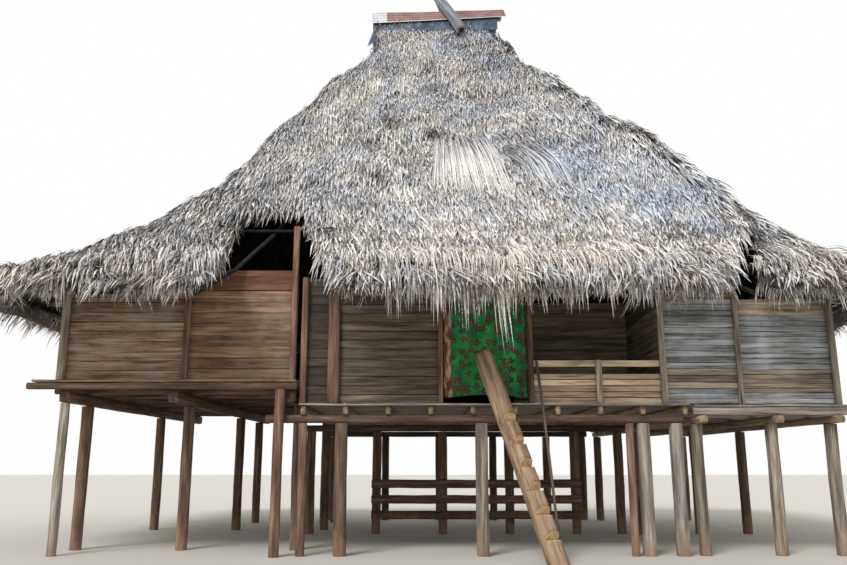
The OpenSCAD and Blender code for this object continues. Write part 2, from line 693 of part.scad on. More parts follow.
// Floors: bays of wing joists, lap of the left wing on the main floor, board edges past the joists
wing_joist_bays = 8;
wing_lap = 20;
joist_show = 60;
board_lip = 15;
module floor_bearers() {
    color("#7a5840") for (y = [-half_d, -bearer_w / 2, half_d - bearer_w])
        block([bearer_left_x, bearer_right_x], [y, y + bearer_w], [post_top, bearer_top]);
}
module floor_joists() {
    color("#8d7d68") for (x = [joist_start_x : joist_pitch : floor_right_x])
        block([x - joist_w / 2, x + joist_w / 2], [-half_d - joist_show / 2, half_d + joist_show / 2],
            [bearer_top, joist_top]);
}
module main_floor() {
    color("#9a8c7a") block([floor_left_x, floor_right_x], [-half_d - board_nose, half_d + board_nose],
        [joist_top, floor_z]);
}
module left_wing_girders() {
    color("#7b6f62") for (x = left_girder_xs)
        block([x - left_girder_w / 2, x + left_girder_w / 2], [-half_d, half_d],
            [left_post_top, left_girder_top]);
}
module left_wing_joists() {
    pitch = (house_depth + 2 * left_front_out - left_joist_w) / wing_joist_bays;
    color("#6d5d4c") for (k = [0 : wing_joist_bays]) let (y = -half_d - left_front_out + k * pitch)
        block([left_floor_x, left_floor_in_x + wing_lap], [y, y + left_joist_w],
            [left_girder_top, left_joist_top]);
}
module left_wing_floor() {
    color("#6d5d4c") block([left_floor_x + joist_show, left_floor_in_x + wing_lap],
        [-half_d - left_front_out - board_lip, half_d + left_front_out], [left_joist_top, left_floor_z]);
}
module right_wing_girders() {
    color("#7b6f62") for (x = right_girder_xs)
        block([x - right_girder_w / 2, x + right_girder_w / 2],
            [-half_d - right_front_out - joist_show, half_d + joist_show],
            [right_post_top, right_girder_top]);
}
module right_wing_joists() {
    pitch = (house_depth + 2 * right_front_out - right_joist_w) / wing_joist_bays;
    color("#6d5d4c") for (k = [0 : wing_joist_bays]) let (y = -half_d - right_front_out + k * pitch)
        block([right_floor_in_x, right_floor_x], [y, y + right_joist_w],
            [right_girder_top, right_joist_top]);
}
module right_wing_floor() {
    color("#9a8c7a") block([right_floor_in_x, right_floor_x - joist_show],
        [-half_d - right_front_out - board_lip, half_d + right_front_out], [right_joist_top, right_floor_z]);
}
pen_rail_t = 40;
module pen_rails() {
    color("#3f352b") for (k = [0 : 2]) let (z = pen_rail_z + k * pen_rail_pitch)
        block([main_post_xs[1] - post_w / 2, main_post_xs[4] + post_w / 2],
            [-post_w / 2 - pen_rail_t, -post_w / 2], [z, z + pen_rail_h]);
}

// Upright posts of the walls. The wing post runs up under the top of the left notch.
corner_stud_w = stud_w + 25;
wing_post_drop = 260;
wing_post_top = front_z(left_notch[2] / front_reach) - thatch_t - wing_post_drop;
module left_wing_studs() {
    color("#7a6450") {
        for (side = [-1, 1]) {
            post(left_corner_x, side * stud_y, corner_stud_w, stud_d, [left_floor_z, left_wall_top]);
            post(end_plate_x(-1), side * end_stud_y, stud_w, stud_w,
                [left_floor_z, end_plate_z(-1) - plate_r]);
        }
        post(left_stud_x, -stud_y, stud_w, stud_d, [left_floor_z, wall_plate_z - plate_r]);
        post(wing_post_x, -stud_y, stud_w, stud_d, [left_floor_z, wing_post_top]);
    }
}
// Narrower uprights: the door's jambs, the railing's short post and the right wing's stud
left_jamb_w = 70;
right_jamb_w = 80;
rail_post_w = 90;
right_stud_w = 70;
module front_wall_posts() {
    color("#5f4a38") {
        post(floor_left_x + stud_w / 2, -stud_y, stud_w, stud_d, [floor_z, main_wall_top]);
        for (p = [[big_post_x, big_post_w], [door_left_x - left_jamb_w / 2, left_jamb_w],
            [door_right_x + right_jamb_w / 2, right_jamb_w], [porch_right_x, stud_w]])
            post(p[0], -stud_y, p[1], stud_d, [floor_z, wall_plate_z - plate_r]);
        post(rail_post_x, -stud_y, rail_post_w, stud_d, [floor_z, floor_z + rail_h]);
        block([door_left_x, door_right_x + right_jamb_w], [-wall_y, -wall_y + lintel_d],
            [curtain_top - 10, curtain_top + 70]);
    }
}
module right_wing_studs() {
    color("#6f6558") {
        post(right_stud_x, -stud_y, right_stud_w, stud_d, [right_floor_z, wall_plate_z - plate_r]);
        for (side = [-1, 1]) {
            post(right_corner_x, side * stud_y, stud_w, stud_d, [right_floor_z, right_wall_top]);
            post(right_corner_x + stud_w / 2, side * end_stud_y, stud_w, stud_w,
                [right_floor_z, end_plate_z(1) - plate_r]);
        }
    }
}
rear_stud_pitch = 1200;
module rear_wall_studs() {
    color("#5f4a38") {
        for (x = [floor_left_x + stud_w / 2 : rear_stud_pitch : porch_right_x])
            post(x, stud_y, stud_w, stud_d, [floor_z, wall_plate_z - plate_r]);
        post(left_stud_x, stud_y, stud_w, stud_d, [left_floor_z, wall_plate_z - plate_r]);
        post(right_stud_x, stud_y, stud_w, stud_d, [right_floor_z, wall_plate_z - plate_r]);
    }
}

// Board walls, with a joint between walls that meet
wall_gap = 2;
module x_wall(x, z) {
    block(x, [-wall_y, -wall_y + wall_t], z);
}
module left_wing_front_wall() {
    color("#7a5f47") {
        x_wall([left_corner_x, left_stud_x], [left_floor_z, left_wall_top]);
        x_wall([left_stud_x + wall_gap, wing_post_x + stud_w / 2], [left_floor_z, left_wall_high_top]);
    }
}
module left_wing_end_wall() {
    color("#7a5f47") block([left_corner_x, left_corner_x + wall_t], [-wall_y + wall_t, wall_y - wall_t],
        [left_floor_z, end_wall_top]);
}
module front_wall() {
    color("#50453a") x_wall([floor_left_x, door_left_x], [floor_z, main_wall_top]);
}
porch_rear_y = -half_d + porch_depth + wall_t;
module porch_walls() {
    color("#6b5844") {
        block([door_right_x, porch_right_x - wall_gap], [porch_rear_y - wall_t, porch_rear_y],
            [floor_z, main_wall_top]);
        block([porch_right_x, porch_right_x + wall_t], [-wall_y + wall_t, porch_rear_y],
            [floor_z, main_wall_top]);
    }
}
// The railing's boards reach up to a gap under its top rail
rail_board_h = 430;
top_rail_h = 90;
module porch_railing() {
    x = [door_right_x + 10, porch_right_x + stud_w / 2];
    color("#b09572") {
        x_wall(x, [floor_z, floor_z + rail_board_h]);
        x_wall(x, [floor_z + rail_h - top_rail_h, floor_z + rail_h]);
    }
}
module right_wing_front_wall() {
    color("#857d70") {
        x_wall([porch_right_x + stud_w / 2 + wall_gap, right_stud_x], [floor_z, right_wall_high_top]);
        translate([0, -wall_y + wall_t, 0]) rotate([90, 0, 0]) linear_extrude(wall_t) polygon([
            [right_stud_x + wall_gap, floor_z], [right_corner_x, floor_z],
            [right_corner_x, right_wall_low_top], [right_stud_x + wall_gap, right_wall_top]]);
    }
}
module right_wing_end_wall() {
    color("#857d70") block([right_corner_x - wall_t, right_corner_x], [-wall_y + wall_t, wall_y - wall_t],
        [right_floor_z, right_wall_low_top]);
}
module rear_wall() {
    color("#6b5844") {
        block([left_corner_x, left_floor_in_x], [wall_y - wall_t, wall_y], [left_floor_z, left_wall_top]);
        block([floor_left_x, floor_right_x], [wall_y - wall_t, wall_y], [floor_z, main_wall_top]);
        block([right_floor_in_x, right_corner_x], [wall_y - wall_t, wall_y],
            [right_floor_z, right_wall_low_top]);
    }
}

// Curtain in the doorway, hung from a rod behind the lintel
lintel_d = 80;
curtain_top = 3800;
rod_r = 15;
rod_in = 5;
rod_out = 60;
curtain_t = 30;
module curtain_rod() {
    color("#6b5844") x_pole([door_left_x + rod_in, door_right_x + rod_out], -wall_y + lintel_d + rod_r,
        curtain_top + rod_r, rod_r);
}
module door_curtain() {
    color("#1f8c3e") block([door_left_x + 10, door_right_x - 10],
        [-wall_y + lintel_d, -wall_y + lintel_d + curtain_t], [floor_z + 100, curtain_top - fit]);
}

// Notched log ladder: a leaning log with hewn steps, on the ground and against the floor's edge
log_scale = sqrt(1 + log_lean * log_lean);
edge_y = -half_d - board_nose;
log_y = edge_y - (log_r + fit) * log_scale;
log_top_z = floor_z + log_above;
// Axis direction of the log, per unit of height
log_dir = [-log_side_lean, log_lean, 1];
function log_at(z) = [log_x, log_y, floor_z] + log_dir * (z - floor_z);
log_tilt = atan(norm([log_side_lean, log_lean]));
log_turn = atan2(log_lean, -log_side_lean);
module along_log() {
    translate(log_at(0)) rotate([0, 0, log_turn]) rotate([0, log_tilt, 0]) children();
}
log_stretch = norm(log_dir);
module log_step(z) {
    along_log() translate([0, 0, z * log_stretch]) rotate([0, -log_tilt, 0]) rotate([90, 0, 0])
        translate([0, 0, -2 * log_r]) linear_extrude(4 * log_r)
            polygon([[-3 * log_r, 0], [-0.12 * log_r, 0], [-3 * log_r, 2.1 * step_rise]]);
}
// Everything above the ground, for poles that are cut level at their feet
clear = 5000;
module above_ground() {
    translate([-clear, -clear, 0]) cube([2 * clear, 2 * clear, clear]);
}
log_foot = 300;
module ladder_log() {
    color("#8b7558") intersection() {
        difference() {
            along_log() translate([0, 0, -log_foot])
                cylinder(h = log_top_z * log_stretch + log_foot, r = log_r, $fn = 48);
            for (z = [step_rise : step_rise : floor_z]) log_step(z);
        }
        above_ground();
    }
}
// Handrail pole beside the log, against the floor's edge
handrail_dir = [-0.07, handrail_lean, 1];
handrail_foot = 100;
function handrail_at(z) =
    [handrail_x, edge_y - (handrail_r + fit) * sqrt(1 + handrail_lean * handrail_lean), floor_z]
    + handrail_dir * (z - floor_z);
module handrail_pole() {
    stretch = norm(handrail_dir);
    color("#5e4c3a") intersection() {
        translate(handrail_at(0)) rotate([0, 0, atan2(handrail_dir[1], handrail_dir[0])])
            rotate([0, acos(1 / stretch), 0]) translate([0, 0, -handrail_foot])
                cylinder(h = (floor_z + handrail_above) * stretch + handrail_foot, r = handrail_r, $fn = 24);
        above_ground();
    }
}

front_posts();
middle_posts();
rear_posts();
left_wing_posts();
right_wing_posts();
floor_bearers();
floor_joists();
main_floor();
left_wing_girders();
left_wing_joists();
left_wing_floor();
right_wing_girders();
right_wing_joists();
right_wing_floor();
pen_rails();
left_wing_studs();
front_wall_posts();
right_wing_studs();
rear_wall_studs();
left_wing_front_wall();
left_wing_end_wall();
front_wall();
porch_walls();
porch_railing();
right_wing_front_wall();
right_wing_end_wall();
rear_wall();
door_curtain();
curtain_rod();
inner_posts();
roof_plates();
ridge_pole();
front_rafters();
rear_rafters();
end_rafters();
thatch_battens();
thatch_front();
thatch_left();
thatch_rear();
thatch_right();
ridge_tarp();
ridge_sheet();
ridge_cross_poles();
ladder_log();
handrail_pole();
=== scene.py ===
import math
import random

import bmesh
import bpy
import numpy as np
from mathutils import Matrix, Vector, noise
from mathutils.bvhtree import BVHTree


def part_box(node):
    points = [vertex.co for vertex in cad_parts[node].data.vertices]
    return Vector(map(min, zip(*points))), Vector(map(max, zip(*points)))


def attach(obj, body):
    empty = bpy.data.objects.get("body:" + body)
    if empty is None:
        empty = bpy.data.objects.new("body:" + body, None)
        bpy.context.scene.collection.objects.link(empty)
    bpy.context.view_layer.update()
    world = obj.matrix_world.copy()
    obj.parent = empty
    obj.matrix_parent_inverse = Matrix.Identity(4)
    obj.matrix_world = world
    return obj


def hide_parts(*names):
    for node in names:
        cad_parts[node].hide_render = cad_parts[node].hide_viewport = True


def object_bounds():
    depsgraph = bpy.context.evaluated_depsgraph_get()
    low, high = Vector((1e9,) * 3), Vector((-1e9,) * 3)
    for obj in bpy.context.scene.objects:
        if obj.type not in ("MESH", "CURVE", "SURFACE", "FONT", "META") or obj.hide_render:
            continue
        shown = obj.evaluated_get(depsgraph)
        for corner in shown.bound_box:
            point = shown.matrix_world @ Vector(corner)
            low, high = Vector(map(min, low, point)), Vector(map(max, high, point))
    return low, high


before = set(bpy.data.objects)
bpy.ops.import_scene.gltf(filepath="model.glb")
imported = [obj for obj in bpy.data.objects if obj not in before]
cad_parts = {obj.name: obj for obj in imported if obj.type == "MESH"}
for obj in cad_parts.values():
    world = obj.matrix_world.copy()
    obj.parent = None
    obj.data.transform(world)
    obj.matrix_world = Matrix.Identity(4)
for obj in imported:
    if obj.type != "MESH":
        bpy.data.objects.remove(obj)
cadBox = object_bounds()
print("frame loaded")


# Node helpers

class Field:
    # A node's output that takes + - * and /, so that a tree reads as a formula
    def __init__(self, tree, socket):
        self.tree, self.socket = tree, socket
        self.isVector = socket.type in ("VECTOR", "RGBA")

    def __add__(self, other):
        return worked("ADD", self, other)

    def __sub__(self, other):
        return worked("SUBTRACT", self, other)

    def __rsub__(self, other):
        return worked("SUBTRACT", other, self)

    def __mul__(self, other):
        return worked("MULTIPLY", self, other)

    def __truediv__(self, other):
        return worked("DIVIDE", self, other)

    def clamped(self):
        self.socket.node.use_clamp = True
        return self


def connect(value, socket):
    if isinstance(value, Field):
        value.tree.links.new(value.socket, socket)
    else:
        socket.default_value = value


def add(tree, kind, inputs=None, **settings):
    node = tree.nodes.new(kind)
    for name, value in settings.items():
        setattr(node, name, value)
    for name, value in (inputs or {}).items():
        connect(value, node.inputs[name])
    return node


def field(tree, kind, inputs=None, output=0, **settings):
    return Field(tree, add(tree, kind, inputs, **settings).outputs[output])


def worked(operation, a, b=0.0):
    # One operation on numbers or vectors; a vector times a number is scaled
    tree = a.tree if isinstance(a, Field) else b.tree
    vectors = [value for value in (a, b) if isinstance(value, tuple) or getattr(value, "isVector", False)]
    if not vectors:
        return field(tree, "ShaderNodeMath", {0: a, 1: b}, operation=operation)
    if len(vectors) == 2:
        return field(tree, "ShaderNodeVectorMath", {0: a, 1: b}, operation=operation)
    factor = b if vectors[0] is a else a
    return field(tree, "ShaderNodeVectorMath", {0: vectors[0], "Scale": factor}, operation="SCALE")


def xyz(tree, x=0.0, y=0.0, z=0.0):
    return field(tree, "ShaderNodeCombineXYZ", {0: x, 1: y, 2: z})


def partsOf(vector):
    node = add(vector.tree, "ShaderNodeSeparateXYZ", {0: vector})
    return [Field(vector.tree, socket) for socket in node.outputs]


def noiseOf(vector, scale=1.0, detail=4.0, roughness=0.6, output=0):
    inputs = {"Vector": vector, "Scale": scale, "Detail": detail, "Roughness": roughness}
    return field(vector.tree, "ShaderNodeTexNoise", inputs, output)


def spread(value, low, high, newLow=0.0, newHigh=1.0):
    inputs = {"Value": value, "From Min": low, "From Max": high, "To Min": newLow, "To Max": newHigh}
    return field(value.tree, "ShaderNodeMapRange", inputs)


def srgb(red, green, blue):
    def linear(part):
        part /= 255
        return part / 12.92 if part <= 0.04045 else ((part + 0.055) / 1.055) ** 2.4
    return (linear(red), linear(green), linear(blue), 1.0)


def coloured(value):
    # A tone of three numbers up to 255 as a linear colour; anything else stays
    return srgb(*value) if isinstance(value, tuple) and len(value) == 3 else value


def mixed(factor, a, b, blend="MIX"):
    tree = next(value.tree for value in (factor, a, b) if isinstance(value, Field))
    inputs = {0: factor, 6: coloured(a), 7: coloured(b)}
    return field(tree, "ShaderNodeMix", inputs, 2, data_type="RGBA", blend_type=blend)


def multiplied(a, b):
    return mixed(1.0, a, b, "MULTIPLY")


def ramp(factor, *stops):
    node = add(factor.tree, "ShaderNodeValToRGB", {"Fac": factor})
    elements = node.color_ramp.elements
    while len(elements) < len(stops):
        elements.new(0.5)
    for element, (place, tone) in zip(elements, stops):
        element.position = place
        element.color = srgb(*tone)
    return Field(factor.tree, node.outputs[0])


def attribute(tree, name, output="Fac"):
    return field(tree, "ShaderNodeAttribute", output=output, attribute_name=name)


def nodeGroup(name, kind, inputs, outputs):
    # A node tree with the given sockets, its inputs as fields and its output node
    tree = bpy.data.node_groups.new(name, kind)
    for way, sockets in (("INPUT", inputs), ("OUTPUT", outputs)):
        for label, socketKind in sockets.items():
            tree.interface.new_socket(label, in_out=way, socket_type="NodeSocket" + socketKind)
    source = add(tree, "NodeGroupInput")
    given = {socket.name: Field(tree, socket) for socket in source.outputs if socket.name}
    return tree, given, add(tree, "NodeGroupOutput")


# Shader groups

def makeGrainGroup():
    inputs = {"Place": "Vector", "Fineness": "Float"}
    outputs = dict.fromkeys(("Fibre", "Bands", "Cracks", "Height"), "Float")
    tree, given, result = nodeGroup("wood grain", "ShaderNodeTree", inputs, outputs)
    place = given["Place"] * given["Fineness"]
    fibre = noiseOf(place * (3.0, 85.0, 85.0), detail=5.0, roughness=0.7)
    bands = noiseOf(place * (1.3, 17.0, 17.0))
    cracks = spread(noiseOf(place * (1.7, 60.0, 60.0), detail=2.0, roughness=0.5), 0.63, 0.70)
    connect(spread(fibre, 0.3, 0.7), result.inputs["Fibre"])
    connect(spread(bands, 0.32, 0.68), result.inputs["Bands"])
    connect(cracks, result.inputs["Cracks"])
    connect(fibre + bands * 0.5 - cracks, result.inputs["Height"])
    return tree


def makeDustGroup():
    inputs = {"Place": "Vector", "Top": "Float"}
    tree, given, result = nodeGroup("foot dust", "ShaderNodeTree", inputs, {"Dust": "Float"})
    patches = noiseOf(given["Place"], scale=9.0, detail=5.0)
    edge = given["Top"] * spread(patches, 0.3, 0.7, 0.3, 1.3)
    low = (1.0 - partsOf(given["Place"])[2] / edge).clamped()
    connect(low * 0.6, result.inputs["Dust"])
    return tree


grainGroup = makeGrainGroup()
dustGroup = makeDustGroup()


def grainOf(place, fineness):
    # The wood grain's fibre, bands, cracks and height at a place
    node = add(place.tree, "ShaderNodeGroup", {"Place": place, "Fineness": fineness}, node_tree=grainGroup)
    return [Field(place.tree, socket) for socket in node.outputs]


def newMaterial(name):
    material = bpy.data.materials.new(name)
    material.use_nodes = True
    return material, material.node_tree


def objectPlaceOf(tree):
    return field(tree, "ShaderNodeTexCoord", output="Object")


def finished(material, colour, roughness, height, strength, distance, **others):
    # Gives a material its colour, roughness and bumps
    tree = material.node_tree
    bumps = field(tree, "ShaderNodeBump", {"Strength": strength, "Distance": distance, "Height": height})
    for name, value in {"Base Color": colour, "Roughness": roughness, "Normal": bumps, **others}.items():
        connect(value, tree.nodes["Principled BSDF"].inputs[name])
    return material


# Wood

dustTone = (160, 126, 96)
toneContrast = (0.65, 1.245)   # brightness of the darkest and the palest timber of a kind

# Each wood's name, its dark, middle and pale tone, and what else differs: how high dust reaches, its stains'
# tone, or for poles without a grain of their own how Object coordinates turn into grain places
woodKinds = {
    "post": ("post wood", (58, 46, 38), (104, 82, 64), (150, 126, 102), {"dusty": 0.45}),
    "greyPost": ("grey post wood", (78, 70, 62), (132, 120, 106), (186, 174, 158), {"dusty": 0.5}),
    "palePost": ("pale post wood", (104, 96, 86), (166, 155, 140), (214, 205, 190), {"dusty": 0.4}),
    # beam wood is dark, partly as painted shade under the floors' edges
    "beam": ("beam wood", (48, 37, 29), (88, 69, 53), (126, 106, 86), {}),
    "joist": ("joist wood", (96, 76, 58), (150, 128, 102), (190, 168, 140), {}),
    "floor": ("floor boards wood", (84, 78, 70), (140, 132, 120), (184, 176, 164), {}),
    "stud": ("stud wood", (62, 44, 34), (112, 84, 66), (150, 124, 102), {}),
    "paleStud": ("pale stud wood", (96, 86, 76), (150, 138, 122), (196, 186, 170), {}),
    "brown": ("brown board wood", (70, 51, 38), (123, 95, 70), (167, 139, 109), {"stain": (138, 120, 102)}),
    # pale brown board wood is the brown board wood made paler, as painted light for walls that lie deeper in shade,
    # with a greyer stain
    "paleBrown": ("pale brown board wood", (80, 62, 48), (138, 114, 88), (186, 164, 136),
                  {"stain": (154, 144, 130)}),
    "red": ("reddish board wood", (62, 38, 29), (108, 68, 50), (140, 98, 76), {}),
    "darkWall": ("dark board wood", (50, 42, 35), (91, 79, 66), (130, 116, 98), {}),
    "shadeWall": ("shaded board wood", (32, 27, 23), (60, 52, 44), (86, 77, 66), {}),
    "grey": ("grey board wood", (86, 84, 82), (154, 155, 153), (206, 211, 216), {"stain": (182, 190, 202)}),
    "tanGrey": ("tan grey board wood", (96, 86, 74), (156, 140, 120), (196, 182, 162), {}),
    # tan board wood and porch board wood are paler than their wood, as painted light on boards in the roof's shade
    "tan": ("tan board wood", (136, 110, 84), (210, 184, 154), (236, 216, 190), {}),
    "porch": ("porch board wood", (92, 80, 68), (156, 140, 118), (196, 182, 160), {}),
    "porchSide": ("porch side board wood", (70, 60, 52), (122, 108, 92), (160, 146, 128), {}),
    # inner wood is near black, painted shade of the unlit inside: the inner frame, the walls' linings and the ridge
    # poles' hollow ends
    "inner": ("painted shade inner wood", (13, 11, 10), (20, 17, 15), (32, 28, 25),
              {"along": (6.0, 6.0, 1.0), "fineness": 0.5}),
    "brownPole": ("brown pole wood", (58, 47, 40), (104, 88, 76), (148, 130, 114), {}),
    "greyPole": ("grey pole wood", (84, 82, 86), (130, 130, 138), (176, 176, 184), {}),
}


def woodMaterial(name, dark, middle, pale, fineness=1.0, dusty=0.0, along=None, stain=None):
    material, tree = newMaterial(name)
    objectPlace = objectPlaceOf(tree)
    if along is None:
        place, tone = attribute(tree, "grain", "Vector"), attribute(tree, "tone")
    else:
        place, tone = objectPlace * along, noiseOf(objectPlace, scale=0.9, detail=1.0)
    fibre, bands, cracks, height = grainOf(place, fineness)
    colour = ramp(bands * 0.65 + fibre * 0.35, (0.12, dark), (0.5, middle), (0.9, pale))
    if stain is not None:
        patches = spread(noiseOf(objectPlace, scale=2.3, detail=3.0), 0.48, 0.66)
        colour = mixed(patches * 0.7, colour, stain)
    brightness = spread(tone, 0.0, 1.0, *toneContrast)
    colour = multiplied(colour, field(tree, "ShaderNodeCombineColor", dict.fromkeys(range(3), brightness)))
    crackTone = tuple(part * 0.25 for part in srgb(*dark)[:3]) + (1.0,)
    colour = mixed(cracks * 0.75, colour, crackTone)
    if dusty:
        dust = field(tree, "ShaderNodeGroup", {"Place": objectPlace, "Top": dusty}, node_tree=dustGroup)
        colour = mixed(dust, colour, dustTone)
    return finished(material, colour, spread(fibre, 0.0, 1.0, 0.72, 0.93), height, 0.55, 0.004)


woods = {kind: woodMaterial(*tones, **others) for kind, (*tones, others) in woodKinds.items()}
print("wood materials made")


# Mesh helpers

def newObject(name, mesh, material=None):
    piece = bpy.data.objects.new(name, mesh)
    bpy.context.scene.collection.objects.link(piece)
    if material is not None:
        mesh.materials.clear()
        mesh.materials.append(material)
    return piece


def dress(piece, slotName, *nodes):
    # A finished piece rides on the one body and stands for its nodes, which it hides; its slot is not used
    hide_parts(*nodes)
    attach(piece, "root")
    return piece


def meshOf(name, points, faces, edges=()):
    mesh = bpy.data.meshes.new(name)
    mesh.from_pydata([tuple(point) for point in points], edges, faces)
    return mesh


def stamp(mesh, name, values):
    # Stores a number or a vector for each vertex
    values = np.array(values, np.float32)
    kind, label = ("FLOAT", "value") if values.ndim == 1 else ("FLOAT_VECTOR", "vector")
    mesh.attributes.new(name, kind, "POINT").data.foreach_set(label, values.ravel())


def evaluated(piece):
    # The object's mesh with its modifiers applied
    piece.update_tag()
    bpy.context.view_layer.update()
    return bpy.data.meshes.new_from_object(piece.evaluated_get(bpy.context.evaluated_depsgraph_get()))


def layeredNoise(spot, layers):
    # Noise at a spot, summed over layers of fineness and strength
    return sum(noise.noise(spot * fineness) * strength for fineness, strength in layers)


def spotsOf(nodeName):
    # The corner points of a node's separate solids, from left to right
    work = bmesh.new()
    work.from_mesh(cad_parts[nodeName].data)
    bmesh.ops.remove_doubles(work, verts=work.verts, dist=1e-5)
    waiting = set(work.verts)
    solids = []
    while waiting:
        first = waiting.pop()
        group, edge = [first], [first]
        while edge:
            for link in edge.pop().link_edges:
                for vertex in link.verts:
                    if vertex in waiting:
                        waiting.discard(vertex)
                        group.append(vertex)
                        edge.append(vertex)
        solids.append(np.array([vertex.co for vertex in group]))
    work.free()
    return sorted(solids, key=lambda spots: [round(float(least), 3) for least in spots.min(0)])


def solidsOf(nodeName):
    return [(spots.min(0), spots.max(0)) for spots in spotsOf(nodeName)]


barShape = {"spacing": 0.24, "lip": 0.012, "endSize": 0.93}


def emptyParts():
    return {"points": [], "faces": [], "grain": [], "tone": []}


def hewnBar(parts, start, end, side, width, depth, rng, squareness=5.0, wander=0.006, chip=0.05, sides=12):
    # A hewn bar from start to end; width is measured along side and depth across it
    run = end - start
    length = run.length
    run = run.normalized()
    side = (side - run * side.dot(run)).normalized()
    other = run.cross(side)
    lip = min(barShape["lip"], length / 8)
    count = max(3, int(length / barShape["spacing"]))
    steps = [0.0] + [lip + (length - 2 * lip) * k / count for k in range(count + 1)] + [length]
    seed = rng.uniform(0, 500)
    tone = rng.random()
    offset = Vector((rng.uniform(0, 40), rng.uniform(0, 3), rng.uniform(0, 3)))
    base = len(parts["points"])
    for index, along in enumerate(steps):
        size = barShape["endSize"] if index in (0, len(steps) - 1) else 1.0
        drift = [noise.noise(Vector((along * 0.7 + seed, 3.1 * k, 0.0))) * wander for k in (1, 2)]
        for number in range(sides):
            angle = 2 * math.pi * (number + 0.5) / sides
            c, s = math.cos(angle), math.sin(angle)
            corner = (abs(c) ** squareness + abs(s) ** squareness) ** (-1 / squareness)
            bite = noise.noise(Vector((along * 2.2 + seed, c * 0.8, s * 0.8))) * chip
            bite += noise.noise(Vector((along * 9.0 + seed, c * 2.5, s * 2.5))) * chip * 0.4
            shrink = (1.0 - chip * 0.7 + bite) * size
            x = min(width / 2, max(-width / 2, width / 2 * c * corner * shrink + drift[0]))
            y = min(depth / 2, max(-depth / 2, depth / 2 * s * corner * shrink + drift[1]))
            parts["points"].append(start + run * along + side * x + other * y)
            parts["grain"].append(Vector((along, x, y)) + offset)
            parts["tone"].append(tone)
    rings = [[base + index * sides + number for number in range(sides)] for index in range(len(steps))]
    for near, far in zip(rings, rings[1:]):
        for number in range(sides):
            following = (number + 1) % sides
            parts["faces"].append((near[number], near[following], far[following], far[number]))
    parts["faces"] += [tuple(reversed(rings[0])), tuple(rings[-1])]


def boxBar(parts, low, high, rng, **shape):
    # A hewn bar that fills a box, along its longest side
    size = high - low
    long = int(np.argmax(size))
    wide, tall = [axis for axis in range(3) if axis != long]
    start, end = (np.array(low) + np.array(high)) / 2, (np.array(low) + np.array(high)) / 2
    start[long], end[long] = low[long], high[long]
    side = Vector([float(axis == wide) for axis in range(3)])
    hewnBar(parts, Vector(start), Vector(end), side, size[wide], size[tall], rng, **shape)


def roundBar(parts, spots, rng, growth=1.0, longer=0.0, **shape):
    # A round pole in place of a cylinder's points
    centre = spots.mean(0)
    run = np.linalg.svd(spots - centre)[2][0]
    run = run if run[2] > 0 else -run
    along = (spots - centre) @ run
    across = spots - centre - np.outer(along, run)
    thick = 2 * np.linalg.norm(across, axis=1).max() * growth
    middle = centre + run * (along.max() + along.min()) / 2
    half = (along.max() - along.min()) / 2 + longer
    ends = [Vector(middle - run * half), Vector(middle + run * half)]
    hewnBar(parts, *ends, Vector((1, 0.01, 0)), thick, thick, rng, squareness=2.0, **shape)


def partsObject(name, parts, wood):
    mesh = meshOf(name, parts["points"], parts["faces"])
    stamp(mesh, "grain", parts["grain"])
    stamp(mesh, "tone", parts["tone"])
    mesh.shade_smooth()
    mesh.update()
    return newObject(name, mesh, woods[wood])


def hewnNode(nodeName, slotName, wood, seed, **shape):
    # Rebuilds a node's straight timbers as hewn bars; wood is a kind, or gives it by a timber's lower corner
    rng = random.Random(seed)
    groups = {}
    for low, high in solidsOf(nodeName):
        kind = wood(low) if callable(wood) else wood
        boxBar(groups.setdefault(kind, emptyParts()), low, high, rng, **shape)
    for number, (kind, parts) in enumerate(groups.items()):
        name = nodeName + "_hewn" + ("" if number == 0 else "_" + kind)
        dress(partsObject(name, parts, kind), slotName, nodeName)


# Geometry Nodes helpers

def geometryTree(name, inputs):
    return nodeGroup(name, "GeometryNodeTree", {"Geometry": "Geometry", **inputs}, {"Geometry": "Geometry"})


def grown(name, tree, values, mesh=None):
    # Runs a tree on a mesh with the given inputs and gives back the result as a plain mesh
    holder = newObject(name + "_seed", mesh or bpy.data.meshes.new(name + "_seed"))
    modifier = holder.modifiers.new(name, "NODES")
    modifier.node_group = tree
    sockets = {item.name: item.identifier for item in tree.interface.items_tree if item.in_out == "INPUT"}
    for label, value in values.items():
        modifier[sockets[label]] = value
    result = evaluated(holder)
    result.name = name
    bpy.data.objects.remove(holder)
    finish = [material for material in result.materials if material is not None]
    result.materials.clear()
    result.materials.append(finish[0])
    result.polygons.foreach_set("material_index", np.zeros(len(result.polygons), np.int32))
    return result


def randomOf(low, high, seed, kind="FLOAT"):
    # kind is FLOAT, FLOAT_VECTOR or INT; the seed is a field
    least, most, output = {"FLOAT_VECTOR": (0, 1, 0), "FLOAT": (2, 3, 1), "INT": (4, 5, 2)}[kind]
    inputs = {least: low, most: high, "Seed": seed}
    return field(seed.tree, "FunctionNodeRandomValue", inputs, output, data_type=kind)


def stored(geometry, name, value, domain="INSTANCE"):
    kind = "FLOAT_VECTOR" if value.isVector else "FLOAT"
    inputs = {"Geometry": geometry, "Name": name, "Value": value}
    return field(geometry.tree, "GeometryNodeStoreNamedAttribute", inputs, data_type=kind, domain=domain)


def named(tree, name, kind="FLOAT"):
    return field(tree, "GeometryNodeInputNamedAttribute", {"Name": name}, data_type=kind)


def moved(geometry, offset):
    return field(geometry.tree, "GeometryNodeSetPosition", {"Geometry": geometry, "Offset": offset})


def realized(instances):
    return field(instances.tree, "GeometryNodeRealizeInstances", {0: instances})


def withMaterial(geometry, material):
    return field(geometry.tree, "GeometryNodeSetMaterial", {"Geometry": geometry, "Material": material})


# Board panels

